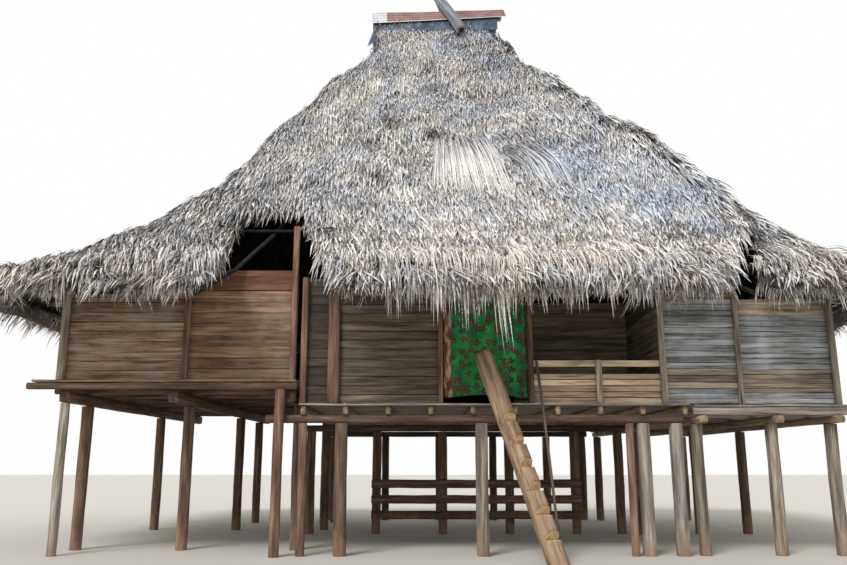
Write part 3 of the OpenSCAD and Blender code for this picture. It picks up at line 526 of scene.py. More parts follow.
def makeBoardTree():
    tree, given, result = geometryTree("board panel", {
        **dict.fromkeys(("Length", "Height", "Thickness", "Seam", "Waves", "Tilt"), "Float"),
        "Boards": "Int", "Seed": "Int", "Material": "Material"})
    seed, thickness = given["Seed"], given["Thickness"]
    pitch = given["Height"] / given["Boards"]
    line = field(tree, "GeometryNodeMeshLine", {
        "Count": given["Boards"], "Start Location": xyz(tree, z=pitch * 0.5), "Offset": xyz(tree, z=pitch)},
        mode="OFFSET")
    board = field(tree, "GeometryNodeMeshCube", {
        "Size": xyz(tree, given["Length"], thickness, pitch - given["Seam"]),
        "Vertices X": given["Length"] * 3.0 + 3.0, "Vertices Y": 2, "Vertices Z": 3})
    lean = field(tree, "FunctionNodeRandomValue", {2: -1.0, 3: 1.0, "Seed": 3}, 1) * given["Tilt"]
    copies = field(tree, "GeometryNodeInstanceOnPoints", {
        "Points": line, "Instance": board, "Rotation": xyz(tree, lean),
        "Scale": randomOf((0.992, 0.8, 0.92), (1.0, 1.0, 1.07), seed, "FLOAT_VECTOR")})
    copies = stored(copies, "tone", randomOf(0.0, 1.0, seed))
    copies = stored(copies, "shift", randomOf((0.0, 0.0, 0.0), (30.0, 3.0, 3.0), seed, "FLOAT_VECTOR"))
    grain = field(tree, "GeometryNodeInputPosition") + named(tree, "shift", "FLOAT_VECTOR")
    grained = stored(realized(copies), "grain", grain, "POINT")
    up = (noiseOf(grain * (1.6, 0.0, 9.0), detail=2.0, roughness=0.5) - 0.5) * given["Waves"]
    out = (noiseOf(grain * (0.9, 0.0, 3.0), detail=1.0, roughness=0.5) - 0.5) * thickness
    waved = moved(grained, xyz(tree, y=out * 0.9, z=up))
    connect(withMaterial(waved, given["Material"]), result.inputs[0])
    return tree


boardTree = makeBoardTree()
boards = {
    "thickness": 0.8, "length": 0.999,   # as shares of the panel's
    "wall": {"Seam": 0.008, "Waves": 0.02, "Tilt": 0.02},
    "floor": {"Seam": 0.008, "Waves": 0.012, "Tilt": 0.0},
    # How a panel turns whose thin side lies along x, y or z
    "turns": (Matrix.Rotation(math.pi / 2, 4, "Z"), Matrix.Identity(4),
              Matrix(((1, 0, 0, 0), (0, 0, 1, 0), (0, -1, 0, 0), (0, 0, 0, 1)))),
}


def boardPanel(name, low, high, count, wood, seed, use="wall"):
    # Boards filling the box from low to high: a wall's lie one above the other, a floor's side by side
    low, high = np.array(low), np.array(high)
    size, origin = high - low, (low + high) / 2
    thin = int(np.argmin(size))
    rise = 1 if thin == 2 else 2
    origin[rise] = low[rise]
    mesh = grown(name, boardTree, {
        "Length": float(size[1 if thin == 0 else 0]) * boards["length"], "Height": float(size[rise]),
        "Boards": count, "Thickness": float(size[thin]) * boards["thickness"], "Seed": seed,
        "Material": woods[wood], **boards[use]})
    mesh.transform(Matrix.Translation(origin) @ boards["turns"][thin])
    return mesh


def joinedPiece(name, meshes):
    # Several meshes as one piece, each with its own material
    work = bmesh.new()
    joined = bpy.data.meshes.new(name)
    for mesh in meshes:
        material = mesh.materials[0]
        if material.name not in joined.materials:
            joined.materials.append(material)
        start = len(work.faces)
        work.from_mesh(mesh)
        work.faces.ensure_lookup_table()
        for face in work.faces[start:]:
            face.material_index = list(joined.materials).index(material)
    work.to_mesh(joined)
    work.free()
    return newObject(name, joined)


# Posts, beams and floors

def frontPostWood(low):
    if low[0] < -1.9:
        return "stud"
    if 0 < low[0] < 0.6:
        return "greyPost"
    return "palePost" if 2.6 < low[0] < 3.2 else "post"


def leftPostWood(low):
    if low[1] >= -3.4:
        return "post"
    return "palePost" if low[0] < -5 else "stud"


innerPost = {"chip": 0.08, "wander": 0.012, "squareness": 3.0}
wingPost = {**innerPost, "squareness": 3.4}
# Nodes of straight timbers with their slot, their wood and how they are hewn; their order gives the seeds
timbers = (
    ("front_posts", "post_wood", frontPostWood, {"chip": 0.07, "wander": 0.01}),
    ("middle_posts", "post_wood", "post", innerPost),
    ("rear_posts", "post_wood", "post", innerPost),
    ("left_wing_posts", "post_wood", leftPostWood, wingPost),
    ("right_wing_posts", "post_wood", lambda low: "greyPost" if low[1] < -3 else "post", wingPost),
    ("floor_bearers", "beam_wood", "beam", {"chip": 0.06}),
    ("floor_joists", "beam_wood", "joist", {"squareness": 12.0}),
    ("left_wing_girders", "beam_wood", "beam", {"chip": 0.06}),
    ("right_wing_girders", "beam_wood", "joist", {"chip": 0.06}),
    ("left_wing_joists", "beam_wood", "beam", {"chip": 0.06}),
    ("right_wing_joists", "beam_wood", "floor", {"chip": 0.06}),
    ("pen_rails", "pole_wood", "post", {"chip": 0.12}),
    ("left_wing_studs", "stud_wood", lambda low: "paleStud" if low[0] < -5.4 and low[1] < -3 else "stud", {}),
    ("right_wing_studs", "stud_wood", lambda low: "paleStud" if low[0] > 5 else "greyPost", {}),
    ("rear_wall_studs", "stud_wood", "stud", {}),
)
for seed, (nodeName, slotName, wood, shape) in enumerate(timbers, 11):
    hewnNode(nodeName, slotName, wood, seed, **shape)
print("posts and beams made")

for name, wood, count, seed in (("main_floor", "floor", 36, 31), ("left_wing_floor", "brown", 38, 32),
                                ("right_wing_floor", "floor", 38, 33)):
    floorBoards = newObject(name + "_boards", boardPanel(name, *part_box(name), count, wood, seed, "floor"))
    dress(floorBoards, "floor_boards", name)

# Each wall's solids from left to right, each with its runs of boards from the foot up: share, boards, wood
panels = {
    "left_wing_front_wall": ("brown_boards", [
        ((1.0, 9, "paleBrown"),), ((0.805, 8, "brown"), (0.195, 1, "red"))]),
    "left_wing_end_wall": ("brown_boards", [((1.0, 9, "paleBrown"),)]),
    "front_wall": ("dark_boards", [((1.0, 14, "shadeWall"),), ((1.0, 14, "darkWall"),)]),
    "porch_walls": ("brown_boards", [((1.0, 9, "porch"),), ((1.0, 9, "porchSide"),)]),
    "porch_railing": ("tan_boards", [((1.0, 5, "tan"),), ((1.0, 1, "tan"),)]),
    "right_wing_front_wall": ("grey_boards", [
        ((0.12, 3, "grey"), (0.16, 3, "tanGrey"), (0.57, 12, "grey"), (0.15, 3, "paleBrown")),
        ((0.10, 2, "grey"), (0.22, 5, "tanGrey"), (0.52, 10, "grey"), (0.16, 3, "tanGrey"))]),
    "right_wing_end_wall": ("grey_boards", [((1.0, 14, "grey"),)]),
    "rear_wall": ("dark_boards", [((1.0, 9, "brown"),), ((1.0, 13, "darkWall"),), ((1.0, 14, "grey"),)]),
}
lining = {"thickness": 0.25, "margin": 0.004}
frontBay = -1.64   # behind a post the front wall's boards change


def baysOf(name):
    bays = solidsOf(name)
    if name != "front_wall":
        return bays
    low, high = bays[0]
    return [(low, np.array([frontBay, *high[1:]])), (np.array([frontBay, *low[1:]]), high)]


def liningMesh(name, low, high):
    # A dark sheet in the middle of a wall, so that no daylight shows between its boards
    size = high - low
    thin = int(np.argmin(size))
    inset = np.full(3, lining["margin"])
    inset[thin] = size[thin] * (1 - lining["thickness"]) / 2
    corners = np.array([low + inset, high - inset])
    points = [tuple(corners[(k >> axis) & 1][axis] for axis in range(3)) for k in range(8)]
    faces = [(0, 2, 3, 1), (4, 5, 7, 6), (0, 1, 5, 4), (2, 6, 7, 3), (0, 4, 6, 2), (1, 3, 7, 5)]
    mesh = meshOf(name, points, faces)
    mesh.materials.append(woods["inner"])
    return mesh


for name, (slotName, sections) in panels.items():
    meshes = []
    for k, ((low, high), runs) in enumerate(zip(baysOf(name), sections)):
        foot = low[2]
        for run, (share, count, wood) in enumerate(runs):
            top = foot + (high[2] - low[2]) * share
            seed = 41 + 7 * k + 3 * run + len(name)
            corners = (*low[:2], foot), (*high[:2], top)
            meshes.append(boardPanel(f"{name}_{k}_{run}", *corners, count, wood, seed))
            foot = top
        meshes.append(liningMesh(f"{name}_{k}_lining", low, high))
    dress(joinedPiece(name + "_boards", meshes), slotName, name)
print("walls and floors made")


# Thatch

thatch = {
    "nodes": ("thatch_front", "thatch_left", "thatch_rear", "thatch_right"),
    "eave": 3.62,         # faces that reach lower than this hang below the eaves
    "upright": 0.03,      # faces that lean less than this stand upright
    "butt": 0.12,         # a course's butt has roof this close under it, and a notch's wall has not
    "weld": 0.003,
    "levels": 2,
    "smoothing": 4,
    "sink": 0.04,
    "lumps": ((1.3, 0.05), (4.1, 0.02)),   # of the roof surface: fineness and height
    "waves": ((1.9, 0.066), (5.3, 0.044)),   # of the eaves
    "ridgeFoot": 9.0,     # edges higher than this stay even
    "coreDrop": 0.05,
    "coreThickness": 0.15,
    "farthest": 0.24,     # how far leaf ends may reach past the part's box
    # How much fuller the roof's outline is: height, half its width there, left and right
    "fuller": (
        (5.8, 5.2, 0.0, 0.0), (6.34, 4.9, -0.16, 0.0), (6.67, 4.5, 0.28, -0.12), (7.0, 4.1, 0.32, 0.18),
        (7.34, 3.8, 0.4, -0.1), (7.68, 3.4, 0.24, -0.02), (8.0, 3.1, 0.24, 0.3), (8.37, 2.7, 0.2, 0.22),
        (8.55, 2.5, -0.1, 0.08), (8.72, 2.3, -0.31, -0.14), (8.9, 2.1, -0.34, -0.22),
        (9.07, 1.9, -0.33, -0.12), (9.42, 1.5, -0.27, 0.0), (9.7, 1.4, -0.1, -0.18), (10.0, 1.3, 0.0, -0.05)),
}


def spotKey(vertex):
    return tuple(round(number, 3) for number in vertex.co)


def outsideFaces(work, owners):
    # The faces that look up, and the butts of the courses, which stand upright with roof close under them
    upward = [face for face in work.faces if face.normal.z > thatch["upright"]
              and min(vertex.co.z for vertex in face.verts) > thatch["eave"]]
    below = BVHTree.FromPolygons([vertex.co for vertex in work.verts],
                                 [[vertex.index for vertex in face.verts] for face in upward])
    kept = set(upward)
    for face in work.faces:
        alone = any(len(owners[spotKey(vertex)]) == 1 for vertex in face.verts)
        if alone and abs(face.normal.z) <= thatch["upright"]:
            spot = face.calc_center_median() + face.normal * 0.01
            if below.ray_cast(spot, Vector((0, 0, -1)), thatch["butt"])[0] is not None:
                kept.add(face)
    return kept


def roofSurface():
    # The outside of the roof, without its undersides, hip faces, notch walls and hanging edges
    work = bmesh.new()
    part = work.faces.layers.int.new("part")
    owners = {}
    for index, nodeName in enumerate(thatch["nodes"]):
        start = len(work.faces)
        work.from_mesh(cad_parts[nodeName].data)
        work.faces.ensure_lookup_table()
        for face in work.faces[start:]:
            face[part] = index
            for vertex in face.verts:
                owners.setdefault(spotKey(vertex), set()).add(index)
    work.verts.index_update()
    work.normal_update()
    kept = outsideFaces(work, owners)
    bmesh.ops.delete(work, geom=[face for face in work.faces if face not in kept], context="FACES")
    bmesh.ops.remove_doubles(work, verts=work.verts, dist=thatch["weld"])
    coarse = bpy.data.meshes.new("coarse roof")
    work.to_mesh(coarse)
    work.free()
    holder = newObject("coarse_roof", coarse)
    finer = holder.modifiers.new("finer", "SUBSURF")
    finer.subdivision_type = "SIMPLE"
    finer.levels = finer.render_levels = thatch["levels"]
    work = bmesh.new()
    work.from_mesh(evaluated(holder))
    bpy.data.objects.remove(holder)
    shapeRoof(work)
    return work


def shapeRoof(work):
    # Rounds the roof surface, makes it and its eaves uneven and gives it the outline of the real one
    inner = [vertex for vertex in work.verts if not vertex.is_boundary]
    for _ in range(thatch["smoothing"]):
        bmesh.ops.smooth_vert(work, verts=inner, factor=0.5, use_axis_x=True, use_axis_y=True, use_axis_z=True)
    work.normal_update()
    for vertex in inner:
        vertex.co += vertex.normal * (layeredNoise(vertex.co, thatch["lumps"]) - thatch["sink"])
    for vertex in work.verts:
        if vertex.is_boundary and vertex.co.z < thatch["ridgeFoot"]:
            wave = layeredNoise(vertex.co, thatch["waves"])
            vertex.co.z += wave
            vertex.co.y += wave / 2 if vertex.co.y < 0 else -wave / 2
    heights, halves, *fuller = zip(*thatch["fuller"])
    for vertex in work.verts:
        x, z = vertex.co.x, vertex.co.z
        share = min(1.0, abs(x) / float(np.interp(z, heights, halves))) ** 2
        vertex.co.x += math.copysign(share, x) * float(np.interp(z, heights, fuller[0 if x < 0 else 1]))
    work.normal_update()


roof = roofSurface()
print("roof surface", len(roof.faces))


def partMesh(name, index):
    # The roof surface's faces of one node as a mesh of their own
    copy = roof.copy()
    layer = copy.faces.layers.int["part"]
    bmesh.ops.delete(copy, geom=[face for face in copy.faces if face[layer] != index], context="FACES")
    mesh = bpy.data.meshes.new(name)
    copy.to_mesh(mesh)
    copy.free()
    return mesh


def emptyLeaves():
    return {"points": [], "faces": [], "along": [], "shade": []}


def blade(leaves, middles, side, widths, tone, root=0.0):
    # A leaf blade: a strip through the middles, as wide as the widths say, that ends in a point. Its attribute
    # along runs from root to 1 at the tip, and low values are dark: painted shade of the leaves lying over the
    # roots
    base, count = len(leaves["points"]), len(widths)
    for index, width in enumerate(widths):
        leaves["points"] += [middles[index] - side * (width / 2), middles[index] + side * (width / 2)]
        leaves["along"] += [root + (1 - root) * index / count] * 2
    leaves["points"].append(middles[-1])
    leaves["along"].append(1.0)
    leaves["shade"] += [tone] * (2 * count + 1)
    for corner in range(base, base + 2 * count - 2, 2):
        leaves["faces"].append((corner, corner + 1, corner + 3, corner + 2))
    leaves["faces"].append((base + 2 * count - 2, base + 2 * count - 1, base + 2 * count))


def leavesMesh(name, leaves):
    mesh = meshOf(name, leaves["points"], leaves["faces"])
    stamp(mesh, "along", leaves["along"])
    stamp(mesh, "shade", leaves["shade"])
    return mesh


tufts = {
    "short": {"blades": 9, "fan": 0.19, "width": (0.011, 0.024), "length": (0.14, 0.34), "rise": (0.012, 0.05),
              "roots": (0.11, 0.08), "bends": 1},
    "long": {"blades": 8, "fan": 0.13, "width": (0.014, 0.030), "length": (0.30, 0.62), "rise": (0.02, 0.07),
             "roots": (0.12, 0.10), "bends": 2},
    # A hanging tuft's root is where its blades' along starts, so it sets how much painted shade darkens their roots
    "hanging": {"blades": 7, "width": (0.014, 0.032), "reach": (0.4, 1.0), "roots": 0.06, "splay": 0.02,
                "root": 0.0},
    "draped": {"blades": 7, "width": (0.014, 0.030), "reach": (0.5, 1.0), "roots": 0.07, "splay": 0.03,
               "root": 0.4},
    "kinds": 6,
}


def lyingTuft(name, seed, shape):
    # Blades that lie along the roof: Y points downhill and Z out of the roof
    rng = random.Random(seed)
    leaves = emptyLeaves()
    for _ in range(shape["blades"]):
        angle = rng.gauss(0, shape["fan"])
        run = Vector((math.sin(angle), math.cos(angle), 0))
        side = Matrix.Rotation(rng.gauss(0, 0.5), 3, run) @ Vector((run.y, -run.x, 0))
        root = Vector((rng.uniform(-1, 1) * shape["roots"][0], rng.uniform(-1, 1) * shape["roots"][1], 0.0))
        length, rise, width = [rng.uniform(*shape[label]) for label in ("length", "rise", "width")]
        curl = rng.uniform(-0.3, 1.0)
        steps = shape["bends"] + 1
        shares = [k / steps for k in range(steps + 1)]
        middles = [root + run * (length * t)
                   + Vector((0, 0, rise * (math.sin(math.pi * t / 1.3) + curl * t ** 2))) for t in shares]
        blade(leaves, middles, side, [width * 0.7] + [width] * shape["bends"], rng.random())
    return leavesMesh(name, leaves)


def hangingTuft(name, seed, shape):
    # Blades that go out along Y and bend down to hang; scaled to their way out and their drop
    rng = random.Random(seed)
    leaves = emptyLeaves()
    for _ in range(shape["blades"]):
        reach = rng.uniform(*shape["reach"])
        out = rng.uniform(0.3, 1.0)
        start, end = rng.uniform(-1, 1) * shape["roots"], rng.gauss(0, shape["splay"])
        side = Vector((1, rng.gauss(0, 1.2), 0)).normalized()
        middles = [Vector((start + end * t, out * (1 - (1 - t) ** 2), -reach * t ** 1.5))
                   for t in (0.0, 0.35, 0.7, 1.0)]
        width = rng.uniform(*shape["width"])
        blade(leaves, middles, side, (width * 0.8, width, width * 0.75), rng.random(), shape["root"])
    return leavesMesh(name, leaves)


def tuftCollection(kind, makeTuft, seed):
    name = kind + "Tuft"
    shelf = bpy.data.collections.new(name)
    for index in range(tufts["kinds"]):
        label = f"{name}_{index}"
        shelf.objects.link(bpy.data.objects.new(label, makeTuft(label, seed + index, tufts[kind])))
    return shelf


shortTufts = tuftCollection("short", lyingTuft, 100)
longTufts = tuftCollection("long", lyingTuft, 200)
hangingTufts = tuftCollection("hanging", hangingTuft, 300)
drapedTufts = tuftCollection("draped", hangingTuft, 400)


def instanced(points, given, rotation, scale):
    # Picks a tuft for each point, gives it its own tone and makes it real
    seed = given["Seed"]
    kinds = field(points.tree, "GeometryNodeCollectionInfo", {0: given["Tufts"], 1: True, 2: True})
    copies = field(points.tree, "GeometryNodeInstanceOnPoints", {
        "Points": points, "Instance": kinds, "Pick Instance": True, "Rotation": rotation, "Scale": scale,
        "Instance Index": randomOf(0, tufts["kinds"] - 1, seed, "INT")})
    toned = stored(copies, "tone", randomOf(0.0, 1.0, seed))
    return withMaterial(realized(toned), given["Material"])


def turnedBy(facing, x, y, z):
    # A rotation with a further turn about its own axes
    tip = field(facing.tree, "FunctionNodeEulerToRotation", {0: xyz(facing.tree, x, y, z)})
    return field(facing.tree, "FunctionNodeRotateRotation", {0: facing, 1: tip}, rotation_space="LOCAL")


def facingTo(up, ahead):
    # The rotation whose Z points up and whose Y points ahead
    inputs = {0: up, 1: ahead}
    return field(ahead.tree, "FunctionNodeAxesToRotation", inputs, primary_axis="Z", secondary_axis="Y")


roofSpan = (3.7, 9.5)   # the heights between which leaves change from those of the eaves to those of the top


def makeScatterTree():
    labels = ("Density", "Top Density", "Spin", "Lift", "Dip", "Raise", "Size", "Top Size")
    tree, given, result = geometryTree("leaf tufts", {
        **dict.fromkeys(labels, "Float"), "Seed": "Int", "Tufts": "Collection", "Material": "Material"})
    seed = given["Seed"]
    spot = field(tree, "GeometryNodeInputPosition")
    height = partsOf(spot)[2]
    density = spread(height, *roofSpan, given["Density"], given["Top Density"])
    spots = add(tree, "GeometryNodeDistributePointsOnFaces",
                {"Mesh": given["Geometry"], "Density": density, "Seed": seed})
    points, normal = [Field(tree, spots.outputs[label]) for label in ("Points", "Normal")]
    flat = partsOf(normal)[2]
    facing = facingTo(normal, normal * flat - (0.0, 0.0, 1.0))
    broad = noiseOf(spot, scale=0.8, detail=1.0, roughness=0.5)
    local = noiseOf(spot, scale=3.2, detail=1.0, roughness=0.5)
    swirl = (broad - 0.5) * 1.8 + (local - 0.5)
    spin = (swirl + randomOf(-0.3, 0.3, seed)) * given["Spin"]
    # Where the roof is flatter the leaves stand off it and their ends droop
    lying = spread(flat, 0.55, 0.88)
    lift = randomOf(-0.1, 1.0, seed) * given["Lift"] - lying * given["Dip"]
    raised = moved(points, normal * (lying * given["Raise"] * randomOf(0.1, 1.0, seed)))
    turned = turnedBy(facing, lift, randomOf(-0.25, 0.25, seed), spin)
    size = randomOf((0.85, 0.75, 0.8), (1.2, 1.25, 1.3), seed, "FLOAT_VECTOR")
    size *= spread(height, *roofSpan, given["Size"], given["Top Size"])
    connect(instanced(raised, given, turned, size), result.inputs[0])
    return tree


def leafMaterial():
    material, tree = newMaterial("dry palm leaf")
    objectPlace = objectPlaceOf(tree)
    shade, tone, along = [attribute(tree, name) for name in ("shade", "tone", "along")]
    paleness, coolness, warmth = partsOf(attribute(tree, "tint", "Vector"))
    clumps = spread(noiseOf(objectPlace, scale=1.7, detail=3.0), 0.32, 0.68)
    specks = spread(noiseOf(objectPlace, scale=30.0, detail=2.0), 0.34, 0.66)
    # The blades' random tones, clumps and specks run from near black to near white: partly the leaves' own
    # mottling, partly painted light and shade between the blades
    light = shade * 0.34 + tone * 0.16 + clumps * 0.18 + specks * 0.32 + paleness
    # Darker towards each blade's root: painted shade where other leaves lie over it
    light *= spread(along, 0.05, 0.6, 0.3, 1.0)
    grey = ramp(light, (0.06, (38, 37, 38)), (0.20, (106, 102, 99)), (0.36, (174, 169, 164)),
                (0.54, (220, 215, 209)), (0.78, (248, 245, 240)))
    hue = noiseOf(objectPlace, scale=1.3, detail=2.0)
    cool = (spread(hue, 0.42, 0.62, 0.0, 0.6) + coolness).clamped()
    warm = (spread(tone + hue, 0.8, 0.5, 0.0, 0.3) + warmth).clamped()
    colour = mixed(cool, grey, multiplied(grey, (214, 226, 246)))
    colour = mixed(warm, colour, multiplied(colour, (240, 214, 178)))
    return finished(material, colour, 0.8, specks, 0.3, 0.003, **{"Specular IOR Level": 0.25})


def coreMaterial():
    material, tree = newMaterial("thatch core")
    # Dark straws: painted shade that shows in the gaps between the leaves
    straws = noiseOf(objectPlaceOf(tree) * (9.0, 9.0, 3.0), detail=6.0, roughness=0.7)
    colour = ramp(straws, (0.35, (34, 32, 30)), (0.6, (78, 73, 67)), (0.75, (112, 105, 96)))
    return finished(material, colour, 0.95, straws, 0.8, 0.02)


leaf = leafMaterial()
core = coreMaterial()
scatterTree = makeScatterTree()

# Places on the front of the roof that are paler, darker, bluer or browner than the rest:
# place across, height, radius across, radius in height, paleness, coolness, warmth
tints = (
    (0.3, 4.2, 1.5, 0.45, 0.06, -0.3, 0.15), (1.9, 4.3, 1.3, 0.45, 0.04, -0.3, 0.15),
    (3.0, 4.3, 0.8, 0.4, 0.02, -0.2, 0.0), (-0.3, 4.9, 0.9, 0.5, 0.06, -0.2, 0.0),
    # The two places low on the wings on the next line are darker as painted shade of the lower roof, and browner
    (-5.2, 4.0, 1.9, 0.7, -0.06, -0.1, 0.15), (5.6, 4.1, 1.5, 0.7, -0.03, -0.1, 0.1),
    (2.2, 6.4, 1.0, 0.7, 0.02, 0.5, 0.0), (3.4, 5.8, 0.9, 0.7, 0.08, 0.5, 0.0),
    (3.9, 5.0, 0.6, 0.6, 0.02, 0.4, 0.0), (-0.72, 9.3, 0.4, 0.25, 0.10, 0.0, 0.1),
    # The wide band low on the front on the next line is darker as painted shade under the eaves and over the
    # fringe, and a little browner
    (0.45, 6.05, 0.6, 0.55, 0.09, -0.2, 0.05), (0.0, 3.1, 9.0, 0.55, -0.10, -0.1, 0.1),
    (0.4, 9.6, 1.2, 0.5, -0.06, 0.2, 0.0), (-0.9, 8.0, 0.5, 0.3, 0.12, 0.0, 0.1),
    (-1.0, 7.3, 0.22, 0.2, -0.30, 0.1, 0.0), (-0.2, 8.2, 0.16, 0.14, -0.25, 0.1, 0.0),
    (-0.15, 6.95, 0.2, 0.16, -0.35, 0.1, 0.0), (-1.15, 5.95, 0.22, 0.2, -0.25, 0.1, 0.0),
    (-2.6, 5.3, 0.8, 0.6, -0.08, 0.1, 0.0), (-3.4, 4.6, 0.9, 0.4, -0.04, 0.0, 0.15),
    (1.0, 9.0, 0.6, 0.6, -0.04, 0.3, 0.0),
)


def tinted(mesh):
    # Keeps the leaf ends near the part's box and stores each vertex's paleness, coolness and warmth
    spots = np.empty(len(mesh.vertices) * 3, np.float32)
    mesh.vertices.foreach_get("co", spots)
    ends = [np.array(corner) + sign * thatch["farthest"] for corner, sign in zip(cadBox, (-1, 1))]
    spots = np.clip(spots.reshape(-1, 3), *ends).astype(np.float32)
    mesh.vertices.foreach_set("co", spots.ravel())
    amounts = np.zeros((len(spots), 3), np.float32)
    for x, z, acrossRadius, heightRadius, *strengths in tints:
        far = ((spots[:, 0] - x) / acrossRadius) ** 2 + ((spots[:, 2] - z) / heightRadius) ** 2
        amounts += np.outer(np.exp(-far) * (spots[:, 1] < 0), strengths)
    stamp(mesh, "tint", amounts)
    return mesh


def triangleCount(mesh):
    return sum(len(polygon.vertices) - 2 for polygon in mesh.polygons)


def coreBody(name, index):
    # The thatch's dark body under the leaves, dark as painted shade in the gaps between them: the roof surface, its
    # copy lower down and a rim between them
    surface = partMesh(name + "_top", index)
    top = [tuple(vertex.co - Vector((0, 0, thatch["coreDrop"]))) for vertex in surface.vertices]
    bottom = [(x, y, z - thatch["coreThickness"]) for x, y, z in top]
    count = len(top)
    faces = [tuple(polygon.vertices) for polygon in surface.polygons]
    sides = {(a, b) for face in faces for a, b in zip(face, face[1:] + face[:1])}
    rim = [(b, a, a + count, b + count) for a, b in sides if (b, a) not in sides]
    under = [tuple(corner + count for corner in reversed(face)) for face in faces]
    mesh = meshOf(name, top + bottom, faces + under + rim)
    mesh.validate()
    mesh.shade_smooth()
    return newObject(name, mesh, core)


lyingLeaves = {
    "long": {"Tufts": longTufts, "Size": 1.0, "Top Size": 0.75},
    "short": {"Tufts": shortTufts, "Size": 1.25, "Top Size": 0.8},
    "all": {"Spin": 0.34, "Lift": 0.12, "Raise": 0.11, "Material": leaf},
}
# Layers of leaves on each side of the roof: tufts, density at the eaves and at the top, dip of the ends
layers = {
    "thatch_front": (("long", 75.0, 12.0, 0.62), ("short", 80.0, 175.0, 0.62), ("short", 50.0, 110.0, 0.62)),
    "thatch_left": (("long", 62.0, 12.0, 0.62), ("short", 34.0, 90.0, 0.62)),
    "thatch_rear": (("long", 32.0, 12.0, 0.62), ("short", 20.0, 34.0, 0.62)),
    "thatch_right": (("long", 62.0, 12.0, 0.35), ("short", 34.0, 90.0, 0.35)),
}
for index, nodeName in enumerate(thatch["nodes"]):
    dress(coreBody(nodeName + "_core", index), "palm_thatch", nodeName)
    for layer, (kind, density, topDensity, dip) in enumerate(layers[nodeName]):
        name = f"{nodeName}_leaves_{layer}"
        mesh = grown(name, scatterTree, {
            **lyingLeaves["all"], **lyingLeaves[kind], "Density": density, "Top Density": topDensity,
            "Dip": dip, "Seed": 7 * index + layer + 1}, partMesh(name + "_surface", index))
        print(name, triangleCount(mesh), "triangles")
        dress(newObject(name, tinted(mesh)), "palm_thatch", nodeName)


# Fringe along the eaves and the notches

fringe = {
    # Where the hanging tips end over the front, from left to right: place and height in metres
    "tips": ((-6.8, 3.4), (-5.97, 3.29), (-5.68, 3.17), (-5.43, 3.22), (-4.92, 3.36), (-4.27, 3.45), (-3.87, 3.21),
             (-3.71, 3.34), (-3.35, 3.43), (-1.38, 3.54), (-1.1, 3.52), (-0.98, 3.25), (-0.58, 3.17), (-0.41, 3.05),
             (-0.19, 2.96), (0.16, 2.84), (0.38, 3.0), (0.54, 2.84), (0.71, 2.97), (0.81, 3.25), (0.96, 3.44),
             (1.38, 3.31), (1.54, 3.24), (1.85, 3.09), (2.18, 3.11), (2.4, 3.28), (2.53, 3.17), (2.69, 3.38),
             (2.92, 3.33), (3.23, 3.38), (3.46, 3.5), (4.2, 3.6), (4.58, 3.5), (4.81, 3.57), (5.01, 3.31),
             (5.3, 3.53), (6.0, 3.4), (6.8, 3.5)),
    "overhang": 0.17,
    "side": (0.24, 0.16),      # drop and overhang at the ends of the house
    "rear": (0.30, 0.16),
    # Notch edges by their place across and the way into the roof: from, to, sign, drop and overhang
    "notches": ((-3.6, -2.9, -1, 0.34, 0.14), (-3.6, -1.0, 0, 0.20, 0.08), (-2.4, -0.9, 1, 0.26, 0.10),
                (3.1, 4.4, -1, 0.24, 0.10), (3.6, 4.8, 0, 0.16, 0.06)),
    "bare": (4.3, 4.7),        # the notch edge between these places that no leaf hangs over
    # Bundles that hang to the tips, and shorter ones that start further in and drape over the edge: their
    # distance, how far in they start, share of the drop, height of their roots over the roof
    "hanging": {"Spacing": 1 / 24, "Nearest": 0.0, "Farthest": 0.3, "Share": 1.0, "Standing": 0.09, "Seed": 5},
    "draped": {"Spacing": 1 / 32, "Nearest": 0.15, "Farthest": 0.8, "Share": 0.6, "Standing": 0.14, "Seed": 6},
    "highest": {"hanging": 9.0, "draped": 3.95},
    "frontDepth": 0.4,         # the front eaves lie this close to the part's front
    "uphill": (0.85, 0.5),     # the way into the roof from the front eaves, back and up
    "hipEnd": 6.5,             # from here inward the roof's ends climb
    "hipSlope": 0.3,
}
frontEdge = cadBox[0].y + fringe["frontDepth"]


def edgeDrop(spot, way):
    # How far the fringe hangs down and out at a place on the roof's edge
    x, y, z = spot
    if y > 0:
        return fringe["rear"]
    if y <= frontEdge:
        return z - float(np.interp(x, *zip(*fringe["tips"]))), fringe["overhang"]
    facing = 0 if abs(way.x) < 0.5 else int(math.copysign(1, way.x))
    for start, end, sign, drop, out in fringe["notches"]:
        if start < x < end and sign == facing:
            return drop, out
    return fringe["side"]


def isBare(spot):
    return fringe["bare"][0] < spot.x < fringe["bare"][1] and frontEdge < spot.y < 0


def eaveLine(highest):
    # The roof surface's open edges below a height as lines, each point with its way inward, drop and overhang
    edges = [e for e in roof.edges if e.is_boundary and max(v.co.z for v in e.verts) < highest
             and not all(isBare(v.co) for v in e.verts)]
    ways = {}
    for edge in edges:
        a, b = edge.verts
        run = (b.co - a.co).normalized()
        way = edge.link_faces[0].calc_center_median() - a.co
        way = (way - run * way.dot(run)).normalized()
        for vertex in edge.verts:
            ways[vertex] = ways.get(vertex, Vector()) + way * edge.calc_length()
    for vertex, way in ways.items():
        if vertex.co.y <= frontEdge:
            climb = (fringe["hipEnd"] - abs(vertex.co.x)) * fringe["hipSlope"]
            way[:] = (0.0, fringe["uphill"][0], min(fringe["uphill"][1], climb))
        way.z = max(0.0, way.z)
        way.normalize()
    numbers = {vertex: k for k, vertex in enumerate(ways)}
    lines = [tuple(numbers[vertex] for vertex in edge.verts) for edge in edges]
    mesh = meshOf("eave line", [vertex.co for vertex in ways], [], lines)
    drops, overhangs = zip(*[edgeDrop(vertex.co, way) for vertex, way in ways.items()])
    for label, values in (("inward", list(ways.values())), ("drop", drops), ("overhang", overhangs)):
        stamp(mesh, label, values)
    return mesh


